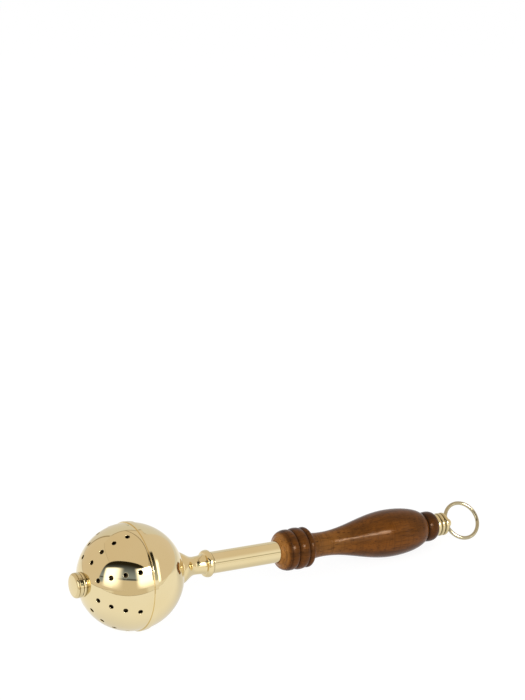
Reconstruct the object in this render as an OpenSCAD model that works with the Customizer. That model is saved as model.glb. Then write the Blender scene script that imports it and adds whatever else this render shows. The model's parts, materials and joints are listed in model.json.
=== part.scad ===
// Aspergillum: a holy water sprinkler with a perforated brass ball on a brass tube,
// a turned wooden handle and a hanging ring, lying on a table.
// All pieces are turned about one tool axis. On that axis z = 0 is the ball's centre,
// negative z runs out to the tip knob and positive z runs to the hanging ring.

/* [Ball] */
// Outer diameter of the ball
ball_d = 50; // [44:0.5:60]
// Wall of the two pressed half shells
shell_wall = 1; // [0.8:0.1:1.4]
// Open line between the two halves
seam_gap = 0.1; // [0.05:0.05:0.3]
// Width of the raised band behind the seam
band_w = 3; // [2:0.1:5]
// Height of the band above the ball
band_proud = 0.5; // [0.3:0.05:1]
// Chamfer on the edges of the band
band_chamfer = 0.2; // [0.1:0.05:0.25]
// Length of the lap ring inside the rear half
lap_l = 2.5; // [1.5:0.1:4]
// Length of the lap ring that is soldered into the front half
lap_seat_l = 3; // [2:0.1:5]
// Wall of the lap ring
lap_wall = 0.9; // [0.6:0.1:1.5]
// Room between the lap ring and the rear half
lap_clear = 0.1; // [0.05:0.05:0.3]

/* [Sprinkle holes] */
// Diameter of a sprinkle hole
hole_d = 2.2; // [1.2:0.1:3]
// Rows of holes around the ball
hole_rows = 8; // [6:1:10]
// Holes in a row, from the tip to the seam
holes_in_row = 4; // [2:1:4]
// Angle from the tip to the first hole
first_hole_angle = 29.4; // [27:0.2:34]
// Angle from one hole to the next in a row
hole_step_angle = 15.6; // [12:0.2:16]
// Turn of the first row about the tool axis
row_turn = 14.4; // [0:0.2:45]

/* [Tip knob] */
// Diameter of the tip knob
knob_d = 11.7; // [10:0.1:16]
// Length of the knob's plain ring, behind the groove
knob_ring_l = 1.9; // [1.5:0.1:3]
// Depth of the groove in the knob
knob_groove_depth = 0.35; // [0.2:0.05:0.5]
// Length of the knob's rounded shoulder, in front of the groove
knob_shoulder_l = 1.3; // [1:0.1:2]
// Diameter of the knob's face
knob_face_d = 8.6; // [7:0.1:9.4]
// Height of the slight crown on that face
knob_crown = 0.3; // [0.2:0.05:0.5]
// Brass left in front of the blind thread
knob_roof = 1.3; // [1:0.1:2]
// Chamfer on the back edge of the knob
knob_chamfer = 0.25; // [0.1:0.05:0.5]
// Diameter of the knob's threaded sleeve
sleeve_d = 8; // [7.5:0.1:9]
// Length of the sleeve below the knob
sleeve_l = 9; // [7:0.5:12]
// Diameter of the collar on the front half
collar_d = 11.6; // [10:0.1:16]
// Height of the collar above the tip of the ball
collar_h = 0.6; // [0.4:0.1:2]
// Chamfer on the front edge of the collar
collar_chamfer = 0.3; // [0.1:0.05:0.5]
// Diameter of the washer under the knob
washer_d = 10; // [9.5:0.1:11]
// Thickness of the washer under the knob
washer_t = 0.3; // [0.2:0.05:0.8]
// Running clearance, on the radius, of the sleeve in the collar
sleeve_clear = 0.05; // [0.03:0.01:0.1]

/* [Tie rod] */
// Diameter of the tie rod
rod_d = 5; // [4:0.1:6]
// Clearance, on the radius, of the rod in its threads
thread_clear = 0.05; // [0.03:0.01:0.1]
// Clearance, on the radius, of the rod in plain bores
rod_clear = 0.15; // [0.1:0.05:0.4]
// Gap between each end of the rod and the bottom of its thread
rod_end_gap = 0.5; // [0.3:0.1:1]
// Width across the flats of the nut in the rear half
nut_flats = 8; // [7.5:0.1:10]
// Height of that nut
nut_h = 4; // [3:0.1:5]
// Diameter of the washer between that nut and the rear half
nut_washer_d = 13; // [12:0.5:16]
// Least thickness of that washer
nut_washer_t = 1; // [0.8:0.1:2]

/* [Sponge] */
// Room between the sponge and the lap ring
sponge_gap = 0.5; // [0.3:0.1:2]
// Room between the sponge and the pieces that pass through it
sponge_bore_gap = 0.3; // [0.2:0.1:1]

/* [Neck] */
// Diameter of the foot that sits on the ball
foot_d = 16.2; // [13:0.1:20]
// Diameter of the waist
neck_waist_d = 8.6; // [8:0.1:11]
// Distance from the ball to the waist
neck_waist_l = 8; // [6:0.1:12]
// Length of the hollow from the waist to the foot of the bead
neck_cove_l = 5; // [3:0.1:9]
// Diameter at the foot of the bead
neck_bead_foot_d = 10.2; // [9:0.1:11.4]
// Length of the front of the bead
neck_bead_front_l = 2.2; // [1:0.1:4]
// Diameter of the bead
neck_bead_d = 13.1; // [12:0.1:16]
// Length of the back of the bead
neck_bead_back_l = 1; // [0.6:0.1:3]
// Diameter of the rim around the end of the tube
neck_rim_d = 11.2; // [11.1:0.1:12]
// Length of that rim
neck_rim_l = 0.5; // [0.4:0.1:2]
// Length of the spigot inside the tube
spigot_l = 9; // [6:0.5:14]
// Clearance, on the radius, of the spigot in the tube
spigot_clear = 0.05; // [0.03:0.01:0.1]

/* [Tube] */
// Outer diameter of the tube
tube_d = 10.4; // [10:0.1:11]
// Wall of the tube
tube_wall = 1; // [0.8:0.1:1.2]
// Length of tube that shows between the neck and the handle
tube_show_l = 36.3; // [25:0.1:60]
// Length of tube inside the handle
tube_in_l = 12; // [8:0.5:16]
// Clearance, on the radius, of the tube in the handle
tube_clear = 0.1; // [0.05:0.05:0.3]

/* [Handle] */
// Diameter of the front face around the tube
lip_d = 11.2; // [10.8:0.1:13]
// Length of the cone behind that face
cone_l = 1.7; // [1:0.1:4]
// Diameter of the cone at the foot of the first bead
cone_d = 15.2; // [14:0.1:18]
// Length of the front of the first bead
bead_1_front_l = 4.5; // [3:0.1:6]
// Distance of the scored line from the crest of the first bead
score_back_l = 2.1; // [1:0.1:2.5]
// Depth of the scored line, from the crest of the first bead
score_depth = 0.5; // [0.4:0.05:0.7]
// Diameter of the first bead
bead_1_d = 19.9; // [19:0.1:24]
// Length of the back of the first bead
bead_1_back_l = 2.3; // [1.5:0.1:4]
// Diameter of the second bead
bead_2_d = 20.3; // [19:0.1:24]
// Length of the second bead
bead_2_l = 5.7; // [4:0.1:8]
// Diameter of the third bead
bead_3_d = 19.7; // [19:0.1:24]
// Length of the front of the third bead
bead_3_front_l = 1.7; // [1:0.1:3]
// Length of the back of the third bead
bead_3_back_l = 1.7; // [1.5:0.1:5]
// Diameter of the grooves between the beads
groove_d = 17.9; // [16:0.1:18.6]
// Diameter of the foot of the third bead
bead_foot_d = 14.8; // [13:0.1:17]
// Length of the hollow from the third bead to the waist
cove_l = 8.4; // [5:0.1:12]
// Diameter of the waist
waist_d = 11.9; // [11:0.1:13]
// Length from the waist to the widest place
belly_rise_l = 39; // [30:0.5:55]
// Greatest diameter of the belly
belly_d = 23.5; // [20:0.1:28]
// Length of the oval back of the belly
belly_fall_l = 20.6; // [16:0.1:28]
// Diameter at which the oval back would close
belly_end_d = 10.9; // [10.4:0.1:12]
// Diameter of the groove before the end bead
end_groove_d = 13.4; // [12.6:0.1:14.4]
// Length of the front of the end bead
end_bead_front_l = 3.1; // [2:0.1:6]
// Diameter of the end bead
end_bead_d = 15.1; // [14.6:0.1:18]
// Length of the back of the end bead
end_bead_back_l = 3.8; // [3:0.1:7]
// Diameter of the end face
end_face_d = 10.9; // [10.4:0.1:13]
// Room around the rod in the handle
handle_bore_clear = 0.5; // [0.3:0.1:0.8]

/* [End cap] */
// Diameter of the washer between handle and cap
cap_washer_d = 11.2; // [10.4:0.1:13]
// Thickness of that washer
cap_washer_t = 2.1; // [1:0.1:3]
// Height of the rounding on the edge of that washer
cap_washer_rise = 0.5; // [0.3:0.1:0.8]
// Diameters of the two rings on the cap
cap_ring_d = 11.5; // [10.8:0.1:14]
// Length of one ring on the cap
cap_ring_l = 2.35; // [1.5:0.05:4]
// Diameter of the groove between the rings
cap_groove_d = 9.6; // [9.2:0.1:10.4]
// Diameter of the spigot inside the handle
cap_spigot_d = 8; // [7:0.1:8.6]
// Length of the spigot inside the handle
cap_spigot_l = 7; // [4:0.5:10]
// Clearance, on the radius, of that spigot
cap_spigot_clear = 0.1; // [0.05:0.05:0.3]
// Depth of the thread beyond the handle
cap_thread_l = 3; // [2:0.1:4]
// Diameter of the ball that holds the ring
eye_d = 5.2; // [5:0.1:6.4]
// Distance from the back of the cap's rings to the eye
eye_l = 1.5; // [1.5:0.1:2.2]

/* [Hanging ring] */
// Diameter of the ring to the middle of its wire
ring_d = 18.6; // [17:0.2:30]
// Diameter of the wire
wire_d = 1.9; // [1.5:0.1:2]
// Clearance between the wire and the mouth of its hole
wire_clear = 0.12; // [0.1:0.01:0.2]
// Turn of the hole about the tool axis, from level
hole_roll = 48; // [42:1:60]
// Room between the ring and the table
table_gap = 0.05; // [0.02:0.01:0.2]

/* [Hidden] */
// Points on each half of a round outline
steps = 10;
// Smoothness of the turned surfaces, and of a thin band on one
$fn = 96;
fine = 360;
// Small overrun of a cutting tool
over = 1;
// Angle of the tool that cuts fine grooves
score_angle = 80;

// Ball
ball_r = ball_d / 2;
shell_in_r = ball_r - shell_wall;
band_r = ball_r + band_proud;
lap_out_r = sqrt(pow(shell_in_r, 2) - pow(lap_l, 2)) - lap_clear;
lap_in_r = lap_out_r - lap_wall;

// Tip
rod_r = rod_d / 2;
thread_r = rod_r + thread_clear;
sleeve_r = sleeve_d / 2;
sleeve_bore_r = sleeve_r + sleeve_clear;
collar_z = -ball_r - collar_h;
knob_back_z = collar_z - washer_t;
knob_groove_z = knob_back_z - knob_ring_l;
knob_face_z = knob_groove_z - knob_shoulder_l;
knob_end_z = knob_face_z - knob_crown;
crown_r = (pow(knob_face_d / 2, 2) + pow(knob_crown, 2)) / (2 * knob_crown);
sleeve_end_z = knob_back_z + sleeve_l;
thread_end_z = knob_end_z + knob_roof;
rod_front_z = thread_end_z + rod_end_gap;

// Inside the rear half: the washer's flat face carries the nut
nut_washer_edge_z = sqrt(pow(shell_in_r, 2) - pow(nut_washer_d / 2, 2));
nut_z = nut_washer_edge_z - nut_washer_t;
nut_front_z = nut_z - nut_h;
nut_corner_r = nut_flats / 2 / cos(30);
sponge_r = lap_in_r - sponge_gap;

// Neck and tube
foot_r = foot_d / 2;
foot_z = sqrt(pow(ball_r, 2) - pow(foot_r, 2));
neck_waist_z = ball_r + neck_waist_l;
neck_bead_foot_z = neck_waist_z + neck_cove_l;
neck_bead_z = neck_bead_foot_z + neck_bead_front_l;
neck_rim_z = neck_bead_z + neck_bead_back_l;
tube_z = neck_rim_z + neck_rim_l;
tube_r = tube_d / 2;
tube_in_r = tube_r - tube_wall;
rod_bore_r = rod_r + rod_clear;

// Handle
handle_z = tube_z + tube_show_l;
bead_1_front_z = handle_z + cone_l;
bead_1_z = bead_1_front_z + bead_1_front_l;
score_z = bead_1_z - score_back_l;
groove_1_z = bead_1_z + bead_1_back_l;
bead_2_z = groove_1_z + bead_2_l / 2;
groove_2_z = groove_1_z + bead_2_l;
bead_3_z = groove_2_z + bead_3_front_l;
bead_foot_z = bead_3_z + bead_3_back_l;
waist_z = bead_foot_z + cove_l;
belly_z = waist_z + belly_rise_l;
belly_end_r = belly_end_d / 2;
belly_rise = belly_d / 2 - belly_end_r;
end_groove_angle = 180 - asin((end_groove_d / 2 - belly_end_r) / belly_rise);
end_groove_z = belly_z - belly_fall_l * cos(end_groove_angle);
end_bead_z = end_groove_z + end_bead_front_l;
handle_end_z = end_bead_z + end_bead_back_l;
handle_bore_r = rod_r + handle_bore_clear;
tube_end_z = handle_z + tube_in_l;

// End cap and ring
cap_z = handle_end_z + cap_washer_t;
cap_rings_end_z = cap_z + 2 * cap_ring_l;
cap_thread_z = cap_z + cap_thread_l;
cap_spigot_z = handle_end_z - cap_spigot_l;
rod_end_z = cap_thread_z - rod_end_gap;
eye_z = cap_rings_end_z + eye_l;
eye_r = eye_d / 2;
ring_r = ring_d / 2;
wire_r = wire_d / 2;
// The wire bends away from the straight hole by this much at its mouth
wire_bow = ring_r - sqrt(pow(ring_r, 2) - pow(eye_r, 2));
eye_hole_r = wire_r + wire_bow + wire_clear;

// The tool rests on the band and on the back of the belly. A line at angle t touches both
// when their reach in the line's downward direction is the same.
touch_z = band_w - band_chamfer;
function belly_reach(t) = belly_end_r * cos(t)
    + sqrt(pow(belly_fall_l * sin(t), 2) + pow(belly_rise * cos(t), 2));
function rest_tilt(t, passes) = passes == 0 ? t
    : rest_tilt(asin((band_r * cos(t) - belly_reach(t)) / (belly_z - touch_z)), passes - 1);
tilt = rest_tilt(5, 12);
ball_height = band_r * cos(tilt) + touch_z * sin(tilt);

// The ring leans out of its hole until its lowest point is on the table.
eye_height = ball_height - eye_z * sin(tilt);
hole_up = sin(hole_roll) * cos(tilt);
ring_drop = eye_height - wire_r - table_gap;
lean_up = (pow(hole_up * ring_r, 2) - pow(ring_drop, 2)) / (2 * ring_drop * ring_r);
straight_down = sin(tilt);
swing_down = cos(tilt) * cos(hole_roll);
ring_swing = atan2(swing_down, straight_down)
    - acos(-lean_up / norm([swing_down, straight_down]));

// The middle of the length, between the knob's crown and the ring, is x = 0.
crown_reach = (knob_end_z + crown_r) * cos(tilt) - crown_r;
lean_x = cos(ring_swing) * cos(tilt) - sin(ring_swing) * sin(tilt) * cos(hole_roll);
hole_x = sin(tilt) * sin(hole_roll);
ring_reach = eye_z * cos(tilt) + ring_r * (lean_x + norm([lean_x, hole_x])) + wire_r;
ball_x = -(crown_reach + ring_reach) / 2;

// Lays a piece of the tool axis down on the table
module lay() {
    translate([ball_x, 0, ball_height]) rotate([0, 90 + tilt, 0]) children();
}

// A plain bore or pin on the tool axis from z0 to z1
module round_bar(r, z0, z1) {
    translate([0, 0, z0]) cylinder(h = z1 - z0, r = r);
}

// Half outline from the axis out to r, between z0 and z1
module strip(r0, r1, z0, z1) {
    translate([r0, z0]) square([r1 - r0, z1 - z0]);
}

// Cutter for a scored line around a turned piece, with its bottom at r
module score(r, z, depth) {
    polygon([[r, z], [r + depth, z - depth * tan(score_angle / 2)],
        [r + depth, z + depth * tan(score_angle / 2)]]);
}

// Oval stretch of an outline: the angle runs from 0 at the front end, over the crest at 90,
// to 180 at the back end
function oval(z, r, half_l, rise, from, to) = [
    for (i = [0 : steps])
        let (a = from + (to - from) * i / steps)
        [r + rise * sin(a), z - half_l * cos(a)]
];

// Smooth S-shaped stretch of an outline from one level to another
function blend(z0, r0, z1, r1) = [
    for (i = [0 : 2 * steps])
        let (u = i / (2 * steps))
        [r0 + (r1 - r0) * (1 - cos(180 * u)) / 2, z0 + (z1 - z0) * u]
];

// Hollow quarter round that leaves the first level steeply and meets the second one level
function cove(z0, r0, z1, r1) = [
    for (i = [0 : steps])
        let (a = 90 * i / steps)
        [r1 + (r0 - r1) * (1 - sin(a)), z0 + (z1 - z0) * (1 - cos(a))]
];

// The same hollow the other way round: it leaves the first level gently
function rising_cove(z0, r0, z1, r1) = [
    for (i = [0 : steps])
        let (a = 90 * i / steps)
        [r0 + (r1 - r0) * (1 - cos(a)), z0 + (z1 - z0) * sin(a)]
];

// One half of the ball's wall, from z0 to z1, as a half outline
module shell_section(z0, z1) {
    intersection() {
        difference() {
            circle(r = ball_r);
            circle(r = shell_in_r);
        }
        strip(0, ball_r + over, z0, z1);
    }
}

module tip_knob() {
    knob_r = knob_d / 2;
    face_r = knob_face_d / 2;
    crown = asin(face_r / crown_r);
    outline = concat(
        [for (i = [0 : steps])
            let (a = crown * i / steps)
            [crown_r * sin(a), knob_end_z + crown_r * (1 - cos(a))]],
        oval(knob_groove_z, face_r, knob_shoulder_l, knob_r - face_r, 0, 90),
        [[knob_r, knob_back_z - knob_chamfer], [knob_r - knob_chamfer, knob_back_z], [0, knob_back_z]]);
    color("goldenrod") lay() difference() {
        union() {
            rotate_extrude() difference() {
                polygon(outline);
                score(knob_r - knob_groove_depth, knob_groove_z, knob_groove_depth + over);
            }
            round_bar(sleeve_r, knob_back_z - knob_ring_l / 2, sleeve_end_z);
        }
        round_bar(thread_r, thread_end_z, sleeve_end_z + over);
    }
}

module knob_washer() {
    color("saddlebrown") lay() difference() {
        round_bar(washer_d / 2, knob_back_z, collar_z);
        round_bar(sleeve_bore_r, knob_back_z - over, collar_z + over);
    }
}

module pole_collar() {
    collar_r = collar_d / 2;
    color("goldenrod") lay() rotate_extrude() difference() {
        polygon([[sleeve_bore_r, collar_z], [collar_r - collar_chamfer, collar_z],
            [collar_r, collar_z + collar_chamfer], [collar_r, 0], [sleeve_bore_r, 0]]);
        circle(r = ball_r);
    }
}

module front_shell() {
    color("gold") lay() difference() {
        rotate_extrude() shell_section(-ball_r - over, -seam_gap);
        round_bar(sleeve_bore_r, -ball_r - over, -ball_r / 2);
        for (row = [0 : hole_rows - 1], i = [0 : holes_in_row - 1])
            rotate([0, 180 - first_hole_angle - i * hole_step_angle, row_turn + row * 360 / hole_rows])
                round_bar(hole_d / 2, shell_in_r - over, ball_r + over);
    }
}

module lap_ring() {
    color("darkgoldenrod") lay() rotate_extrude() {
        intersection() {
            circle(r = shell_in_r);
            strip(lap_in_r, shell_in_r, -lap_seat_l, -seam_gap);
        }
        strip(lap_in_r, lap_out_r, -lap_seat_l, lap_l);
    }
}

module rim_band() {
    color("gold") lay() rotate_extrude() difference() {
        polygon([[ball_r - shell_wall, 0], [band_r - band_chamfer, 0], [band_r, band_chamfer],
            [band_r, band_w - band_chamfer], [band_r - band_chamfer, band_w],
            [ball_r - shell_wall, band_w]]);
        circle(r = ball_r, $fn = fine);
    }
}

module rear_shell() {
    color("gold") lay() difference() {
        rotate_extrude() shell_section(0, ball_r + over);
        round_bar(rod_bore_r, ball_r / 2, ball_r + over);
    }
}

module sponge() {
    color("khaki") lay() difference() {
        sphere(r = sponge_r);
        round_bar(rod_r + sponge_bore_gap, -ball_r, ball_r);
        round_bar(sleeve_r + sponge_bore_gap, -ball_r, sleeve_end_z + sponge_bore_gap);
        round_bar(nut_washer_d / 2 + sponge_bore_gap, nut_front_z - sponge_bore_gap, ball_r);
    }
}

module nut_washer() {
    color("goldenrod") lay() rotate_extrude() intersection() {
        circle(r = shell_in_r);
        strip(rod_bore_r, nut_washer_d / 2, nut_z, ball_r);
    }
}

module lock_nut() {
    color("silver") lay() difference() {
        translate([0, 0, nut_front_z]) cylinder(h = nut_h, r = nut_corner_r, $fn = 6);
        round_bar(thread_r, nut_front_z - over, nut_z + over);
    }
}

module tie_rod() {
    color("silver") lay() round_bar(rod_r, rod_front_z, rod_end_z);
}

module neck() {
    spigot_r = tube_in_r - spigot_clear;
    bead_foot_r = neck_bead_foot_d / 2;
    bead_r = neck_bead_d / 2;
    rim_r = neck_rim_d / 2;
    outline = concat(
        [[0, 0], [foot_r, 0]],
        blend(foot_z, foot_r, neck_waist_z, neck_waist_d / 2),
        rising_cove(neck_waist_z, neck_waist_d / 2, neck_bead_foot_z, bead_foot_r),
        oval(neck_bead_z, bead_foot_r, neck_bead_front_l, bead_r - bead_foot_r, 0, 90),
        oval(neck_bead_z, rim_r, neck_bead_back_l, bead_r - rim_r, 90, 180),
        [[rim_r, tube_z], [spigot_r, tube_z], [spigot_r, tube_z + spigot_l], [0, tube_z + spigot_l]]);
    color("goldenrod") lay() difference() {
        rotate_extrude() difference() {
            polygon(outline);
            circle(r = ball_r);
        }
        round_bar(rod_bore_r, 0, tube_z + spigot_l + over);
    }
}

module tube() {
    color("gold") lay() difference() {
        round_bar(tube_r, tube_z, tube_end_z);
        round_bar(tube_in_r, tube_z - over, tube_end_z + over);
    }
}

module handle() {
    groove_r = groove_d / 2;
    outline = concat(
        [[0, handle_z]],
        [[lip_d / 2, handle_z]],
        oval(bead_1_z, cone_d / 2, bead_1_front_l, (bead_1_d - cone_d) / 2, 0, 90),
        oval(bead_1_z, groove_r, bead_1_back_l, bead_1_d / 2 - groove_r, 90, 180),
        oval(bead_2_z, groove_r, bead_2_l / 2, bead_2_d / 2 - groove_r, 0, 180),
        oval(bead_3_z, groove_r, bead_3_front_l, bead_3_d / 2 - groove_r, 0, 90),
        oval(bead_3_z, bead_foot_d / 2, bead_3_back_l, (bead_3_d - bead_foot_d) / 2, 90, 180),
        cove(bead_foot_z, bead_foot_d / 2, waist_z, waist_d / 2),
        blend(waist_z, waist_d / 2, belly_z, belly_d / 2),
        oval(belly_z, belly_end_r, belly_fall_l, belly_rise, 90, end_groove_angle),
        oval(end_bead_z, end_groove_d / 2, end_bead_front_l, (end_bead_d - end_groove_d) / 2, 0, 90),
        oval(end_bead_z, end_face_d / 2, end_bead_back_l, (end_bead_d - end_face_d) / 2, 90, 180),
        [[0, handle_end_z]]);
    color("sienna") lay() difference() {
        rotate_extrude() difference() {
            polygon(outline);
            score(bead_1_d / 2 - score_depth, score_z, score_depth);
        }
        round_bar(handle_bore_r, handle_z - over, handle_end_z + over);
        round_bar(tube_r + tube_clear, handle_z - over, tube_end_z);
        round_bar(cap_spigot_d / 2 + cap_spigot_clear,
            cap_spigot_z - cap_spigot_clear, handle_end_z + over);
    }
}

module cap_washer() {
    side_r = cap_washer_d / 2 - cap_washer_rise;
    outline = concat([[0, handle_end_z]],
        oval((handle_end_z + cap_z) / 2, side_r, cap_washer_t / 2, cap_washer_rise, 0, 180),
        [[0, cap_z]]);
    color("gold") lay() difference() {
        rotate_extrude() polygon(outline);
        round_bar(cap_spigot_d / 2 + cap_spigot_clear, handle_end_z - over, cap_z + over);
    }
}

module end_cap() {
    groove_r = cap_groove_d / 2;
    outline = concat(
        [[0, cap_spigot_z], [cap_spigot_d / 2, cap_spigot_z], [cap_spigot_d / 2, cap_z]],
        [for (i = [0, 1]) each
            oval(cap_z + (i + 0.5) * cap_ring_l, groove_r, cap_ring_l / 2,
                cap_ring_d / 2 - groove_r, 0, 180)],
        [[0, cap_rings_end_z]]);
    color("gold") lay() difference() {
        union() {
            rotate_extrude() polygon(outline);
            translate([0, 0, eye_z]) sphere(r = eye_r);
        }
        round_bar(thread_r, cap_spigot_z - over, cap_thread_z);
        translate([0, 0, eye_z]) rotate([0, 0, hole_roll]) rotate([90, 0, 0])
            cylinder(h = 4 * eye_r, r = eye_hole_r, center = true);
    }
}

module hang_ring() {
    // Before it is turned the ring lies in the plane of the tool axis and its hole
    color("gold") lay() translate([0, 0, eye_z]) rotate([0, 0, hole_roll]) rotate([0, ring_swing, 0])
        translate([0, 0, ring_r]) rotate([0, 90, 0]) rotate_extrude()
            translate([ring_r, 0]) circle(r = wire_r, $fn = 48);
}

tip_knob();
knob_washer();
pole_collar();
front_shell();
lap_ring();
rim_band();
rear_shell();
sponge();
nut_washer();
lock_nut();
tie_rod();
neck();
tube();
handle();
cap_washer();
end_cap();
hang_ring();
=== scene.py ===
# %% [markdown]
# # A holy water sprinkler
#
# This lesson dresses a sprinkler for its portrait: a perforated brass ball that opens at its seam,
# a turned brass neck and tube, a turned and varnished wooden handle, and a brass hanging ring.
# The construction is already there as a frame of plain solids at their real size. Blender adds what
# the frame lacks: true curves for the mirror polish, soft edges, wood grain, the porous sponge and
# the studio that the brass reflects. Everything is in metres, in the frame's own axes.

# %% The frame
import json

import bpy
import numpy as np
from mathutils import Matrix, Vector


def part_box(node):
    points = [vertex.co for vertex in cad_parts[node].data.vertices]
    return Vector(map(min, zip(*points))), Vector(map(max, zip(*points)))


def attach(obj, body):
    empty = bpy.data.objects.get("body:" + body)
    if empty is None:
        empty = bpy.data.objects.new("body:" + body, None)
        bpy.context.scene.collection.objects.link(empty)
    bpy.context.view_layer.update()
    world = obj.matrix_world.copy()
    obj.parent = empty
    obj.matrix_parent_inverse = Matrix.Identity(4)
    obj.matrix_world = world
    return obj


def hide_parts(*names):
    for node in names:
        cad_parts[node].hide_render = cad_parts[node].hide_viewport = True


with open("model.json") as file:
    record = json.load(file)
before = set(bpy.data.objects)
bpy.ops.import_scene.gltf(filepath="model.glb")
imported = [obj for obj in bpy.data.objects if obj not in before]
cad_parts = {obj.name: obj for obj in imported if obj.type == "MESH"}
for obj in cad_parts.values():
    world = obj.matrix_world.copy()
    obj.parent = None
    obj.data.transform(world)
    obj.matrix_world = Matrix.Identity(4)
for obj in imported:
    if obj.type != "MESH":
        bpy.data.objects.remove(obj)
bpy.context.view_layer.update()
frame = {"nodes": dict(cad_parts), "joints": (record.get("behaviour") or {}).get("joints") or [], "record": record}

# %% [markdown]
# ## The tool axis
#
# Every piece but the ring is turned about one axis, so a point is best given by three numbers: how
# far along the axis it is from the middle of the ball, how far away from the axis, and its turn
# about it. The frame holds the axis: the front half of the ball slides along it, and the hinge of
# the tip knob is on it. The seam, which is also the middle of the ball, is where the rim band starts.

# %% Axis
joints = {joint["name"]: joint for joint in frame["joints"]}


def unit(vectors):
    """Vectors in the same directions with a length of 1."""
    return vectors / np.linalg.norm(vectors, axis=-1, keepdims=True)


AXIS = unit(-np.array(joints["front_slide"]["axis"]))
LEVEL = np.array([0.0, 1.0, 0.0])
DOWN = np.cross(LEVEL, AXIS)
TIP = np.array(joints["knob_turn"]["pos_m"])
print("tool axis:", np.round(AXIS, 4))

# %% Points of the solids


def mesh_points(mesh):
    """The points of a mesh, one row each."""
    points = np.empty(len(mesh.vertices) * 3)
    mesh.vertices.foreach_get("co", points)
    return points.reshape(-1, 3)


def node_points(node):
    """The corners of a CAD solid, one row each."""
    return mesh_points(frame["nodes"][node].data)


def along_and_away(points, start, axis):
    """How far points lie along an axis from its start, and how far away from it."""
    offset = points - start
    along = offset @ axis
    return along, np.linalg.norm(offset - along[:, None] * axis, axis=1)


CENTRE = TIP + AXIS * ((node_points("rim_band") - TIP) @ AXIS).min()


def corners(node):
    """Every corner of a CAD solid as its distance along the tool axis and its distance away from it."""
    return along_and_away(node_points(node), CENTRE, AXIS)


BALL_R = corners("rear_shell")[1].max()
print("ball: radius %.2f mm, middle at" % (BALL_R * 1000), np.round(CENTRE * 1000, 2), "mm")

# %% Placing points


def spoke(turn):
    """The direction away from the axis at a turn: cos turn * DOWN + sin turn * LEVEL."""
    return np.cos(turn)[..., None] * DOWN + np.sin(turn)[..., None] * LEVEL


def place(along, away, turn):
    """Points of turned work: CENTRE + along * AXIS + away * spoke(turn)."""
    return CENTRE + along[..., None] * AXIS + away[..., None] * spoke(turn)


front_of_ball = place(np.array(-BALL_R), np.array(0.0), np.array(0.0))
print("foremost point of the ball:", np.round(front_of_ball * 1000, 2), "mm")

# %% [markdown]
# ## The camera
#
# The photograph was taken with a long lens from a little above the table, so the sprinkler shows
# almost no perspective. The place below was solved from the outline of the sprinkler and the rows of
# holes in the ball. The camera looks past the sprinkler, which therefore lies low in the picture.

# %% Camera
CAMERA_FROM_BALL = np.array([-0.3397, -0.7127, 0.4216])
LOOKS_DOWN = np.radians(21.47)
TURNED_RIGHT = np.radians(29.91)
PICTURE_HEIGHT_PX = 700
FOCAL_LENGTH_PX = 1926

lens = bpy.data.cameras.new("portrait_lens")
lens.lens = FOCAL_LENGTH_PX * lens.sensor_width / PICTURE_HEIGHT_PX
camera = bpy.data.objects.new("portrait_camera", lens)
camera.location = CENTRE + CAMERA_FROM_BALL
camera.rotation_euler = (np.pi / 2 - LOOKS_DOWN, 0, -TURNED_RIGHT)
bpy.context.scene.collection.objects.link(camera)
bpy.context.scene.camera = camera
camera_distance = np.linalg.norm(CAMERA_FROM_BALL)
print("camera: %.1f mm lens, %.0f mm from the ball" % (lens.lens, 1000 * camera_distance))

# %% [markdown]
# ## Helpers for materials
#
# A material is a small network of nodes. Written out in full, each node takes many lines, so one
# helper adds a node, sets its options and fills its inputs. The others build what comes up again and
# again: a product, a soft step up or down, a strip with soft edges and a mix of two colours.

# %% Node helpers


def fill(tree, node, inputs):
    """Fills inputs by name or number: an output is linked, and anything else is set as a value."""
    for name, value in inputs.items():
        if isinstance(value, bpy.types.NodeSocket):
            tree.links.new(value, node.inputs[name])
        else:
            node.inputs[name].default_value = value


def add_node(tree, kind, options=None, inputs=None):
    """Adds a node of the given kind to a tree, with its options and its inputs."""
    node = tree.nodes.new(kind)
    for name, value in (options or {}).items():
        setattr(node, name, value)
    fill(tree, node, inputs or {})
    return node


def math(tree, operation, first, second=0.0):
    """A Math node's result."""
    node = add_node(tree, "ShaderNodeMath", {"operation": operation}, {0: first, 1: second})
    return node.outputs[0]


def times(tree, first, second):
    """The product of two values."""
    return math(tree, "MULTIPLY", first, second)


def part_along(tree, vector, axis):
    """How far a vector goes along an axis."""
    node = add_node(tree, "ShaderNodeVectorMath", {"operation": "DOT_PRODUCT"}, {0: vector, 1: axis})
    return node.outputs["Value"]


# %% Soft steps and mixes


def ease(tree, value, low, high, start=0.0, end=1.0):
    """Goes smoothly from start to end while value goes from low to high."""
    inputs = {"Value": value, "From Min": low, "From Max": high, "To Min": start, "To Max": end}
    return add_node(tree, "ShaderNodeMapRange", {"interpolation_type": "SMOOTHSTEP"}, inputs).outputs[0]


def fade(tree, value, low, high):
    """Goes smoothly from 1 to 0 while value goes from low to high."""
    return ease(tree, value, low, high, 1, 0)


def between(tree, value, low, high, soft):
    """Is 1 while value lies between low and high, and fades to 0 over `soft` on each side of both."""
    start = ease(tree, value, low - soft, low + soft)
    return times(tree, start, fade(tree, value, high - soft, high + soft))


def blend(tree, share, first, second):
    """Mixes two colours by a share from 0 to 1. A Mix node takes colours in its inputs 6 and 7."""
    node = add_node(tree, "ShaderNodeMix", {"data_type": "RGBA"}, {0: share, 6: first, 7: second})
    return node.outputs[2]


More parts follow.
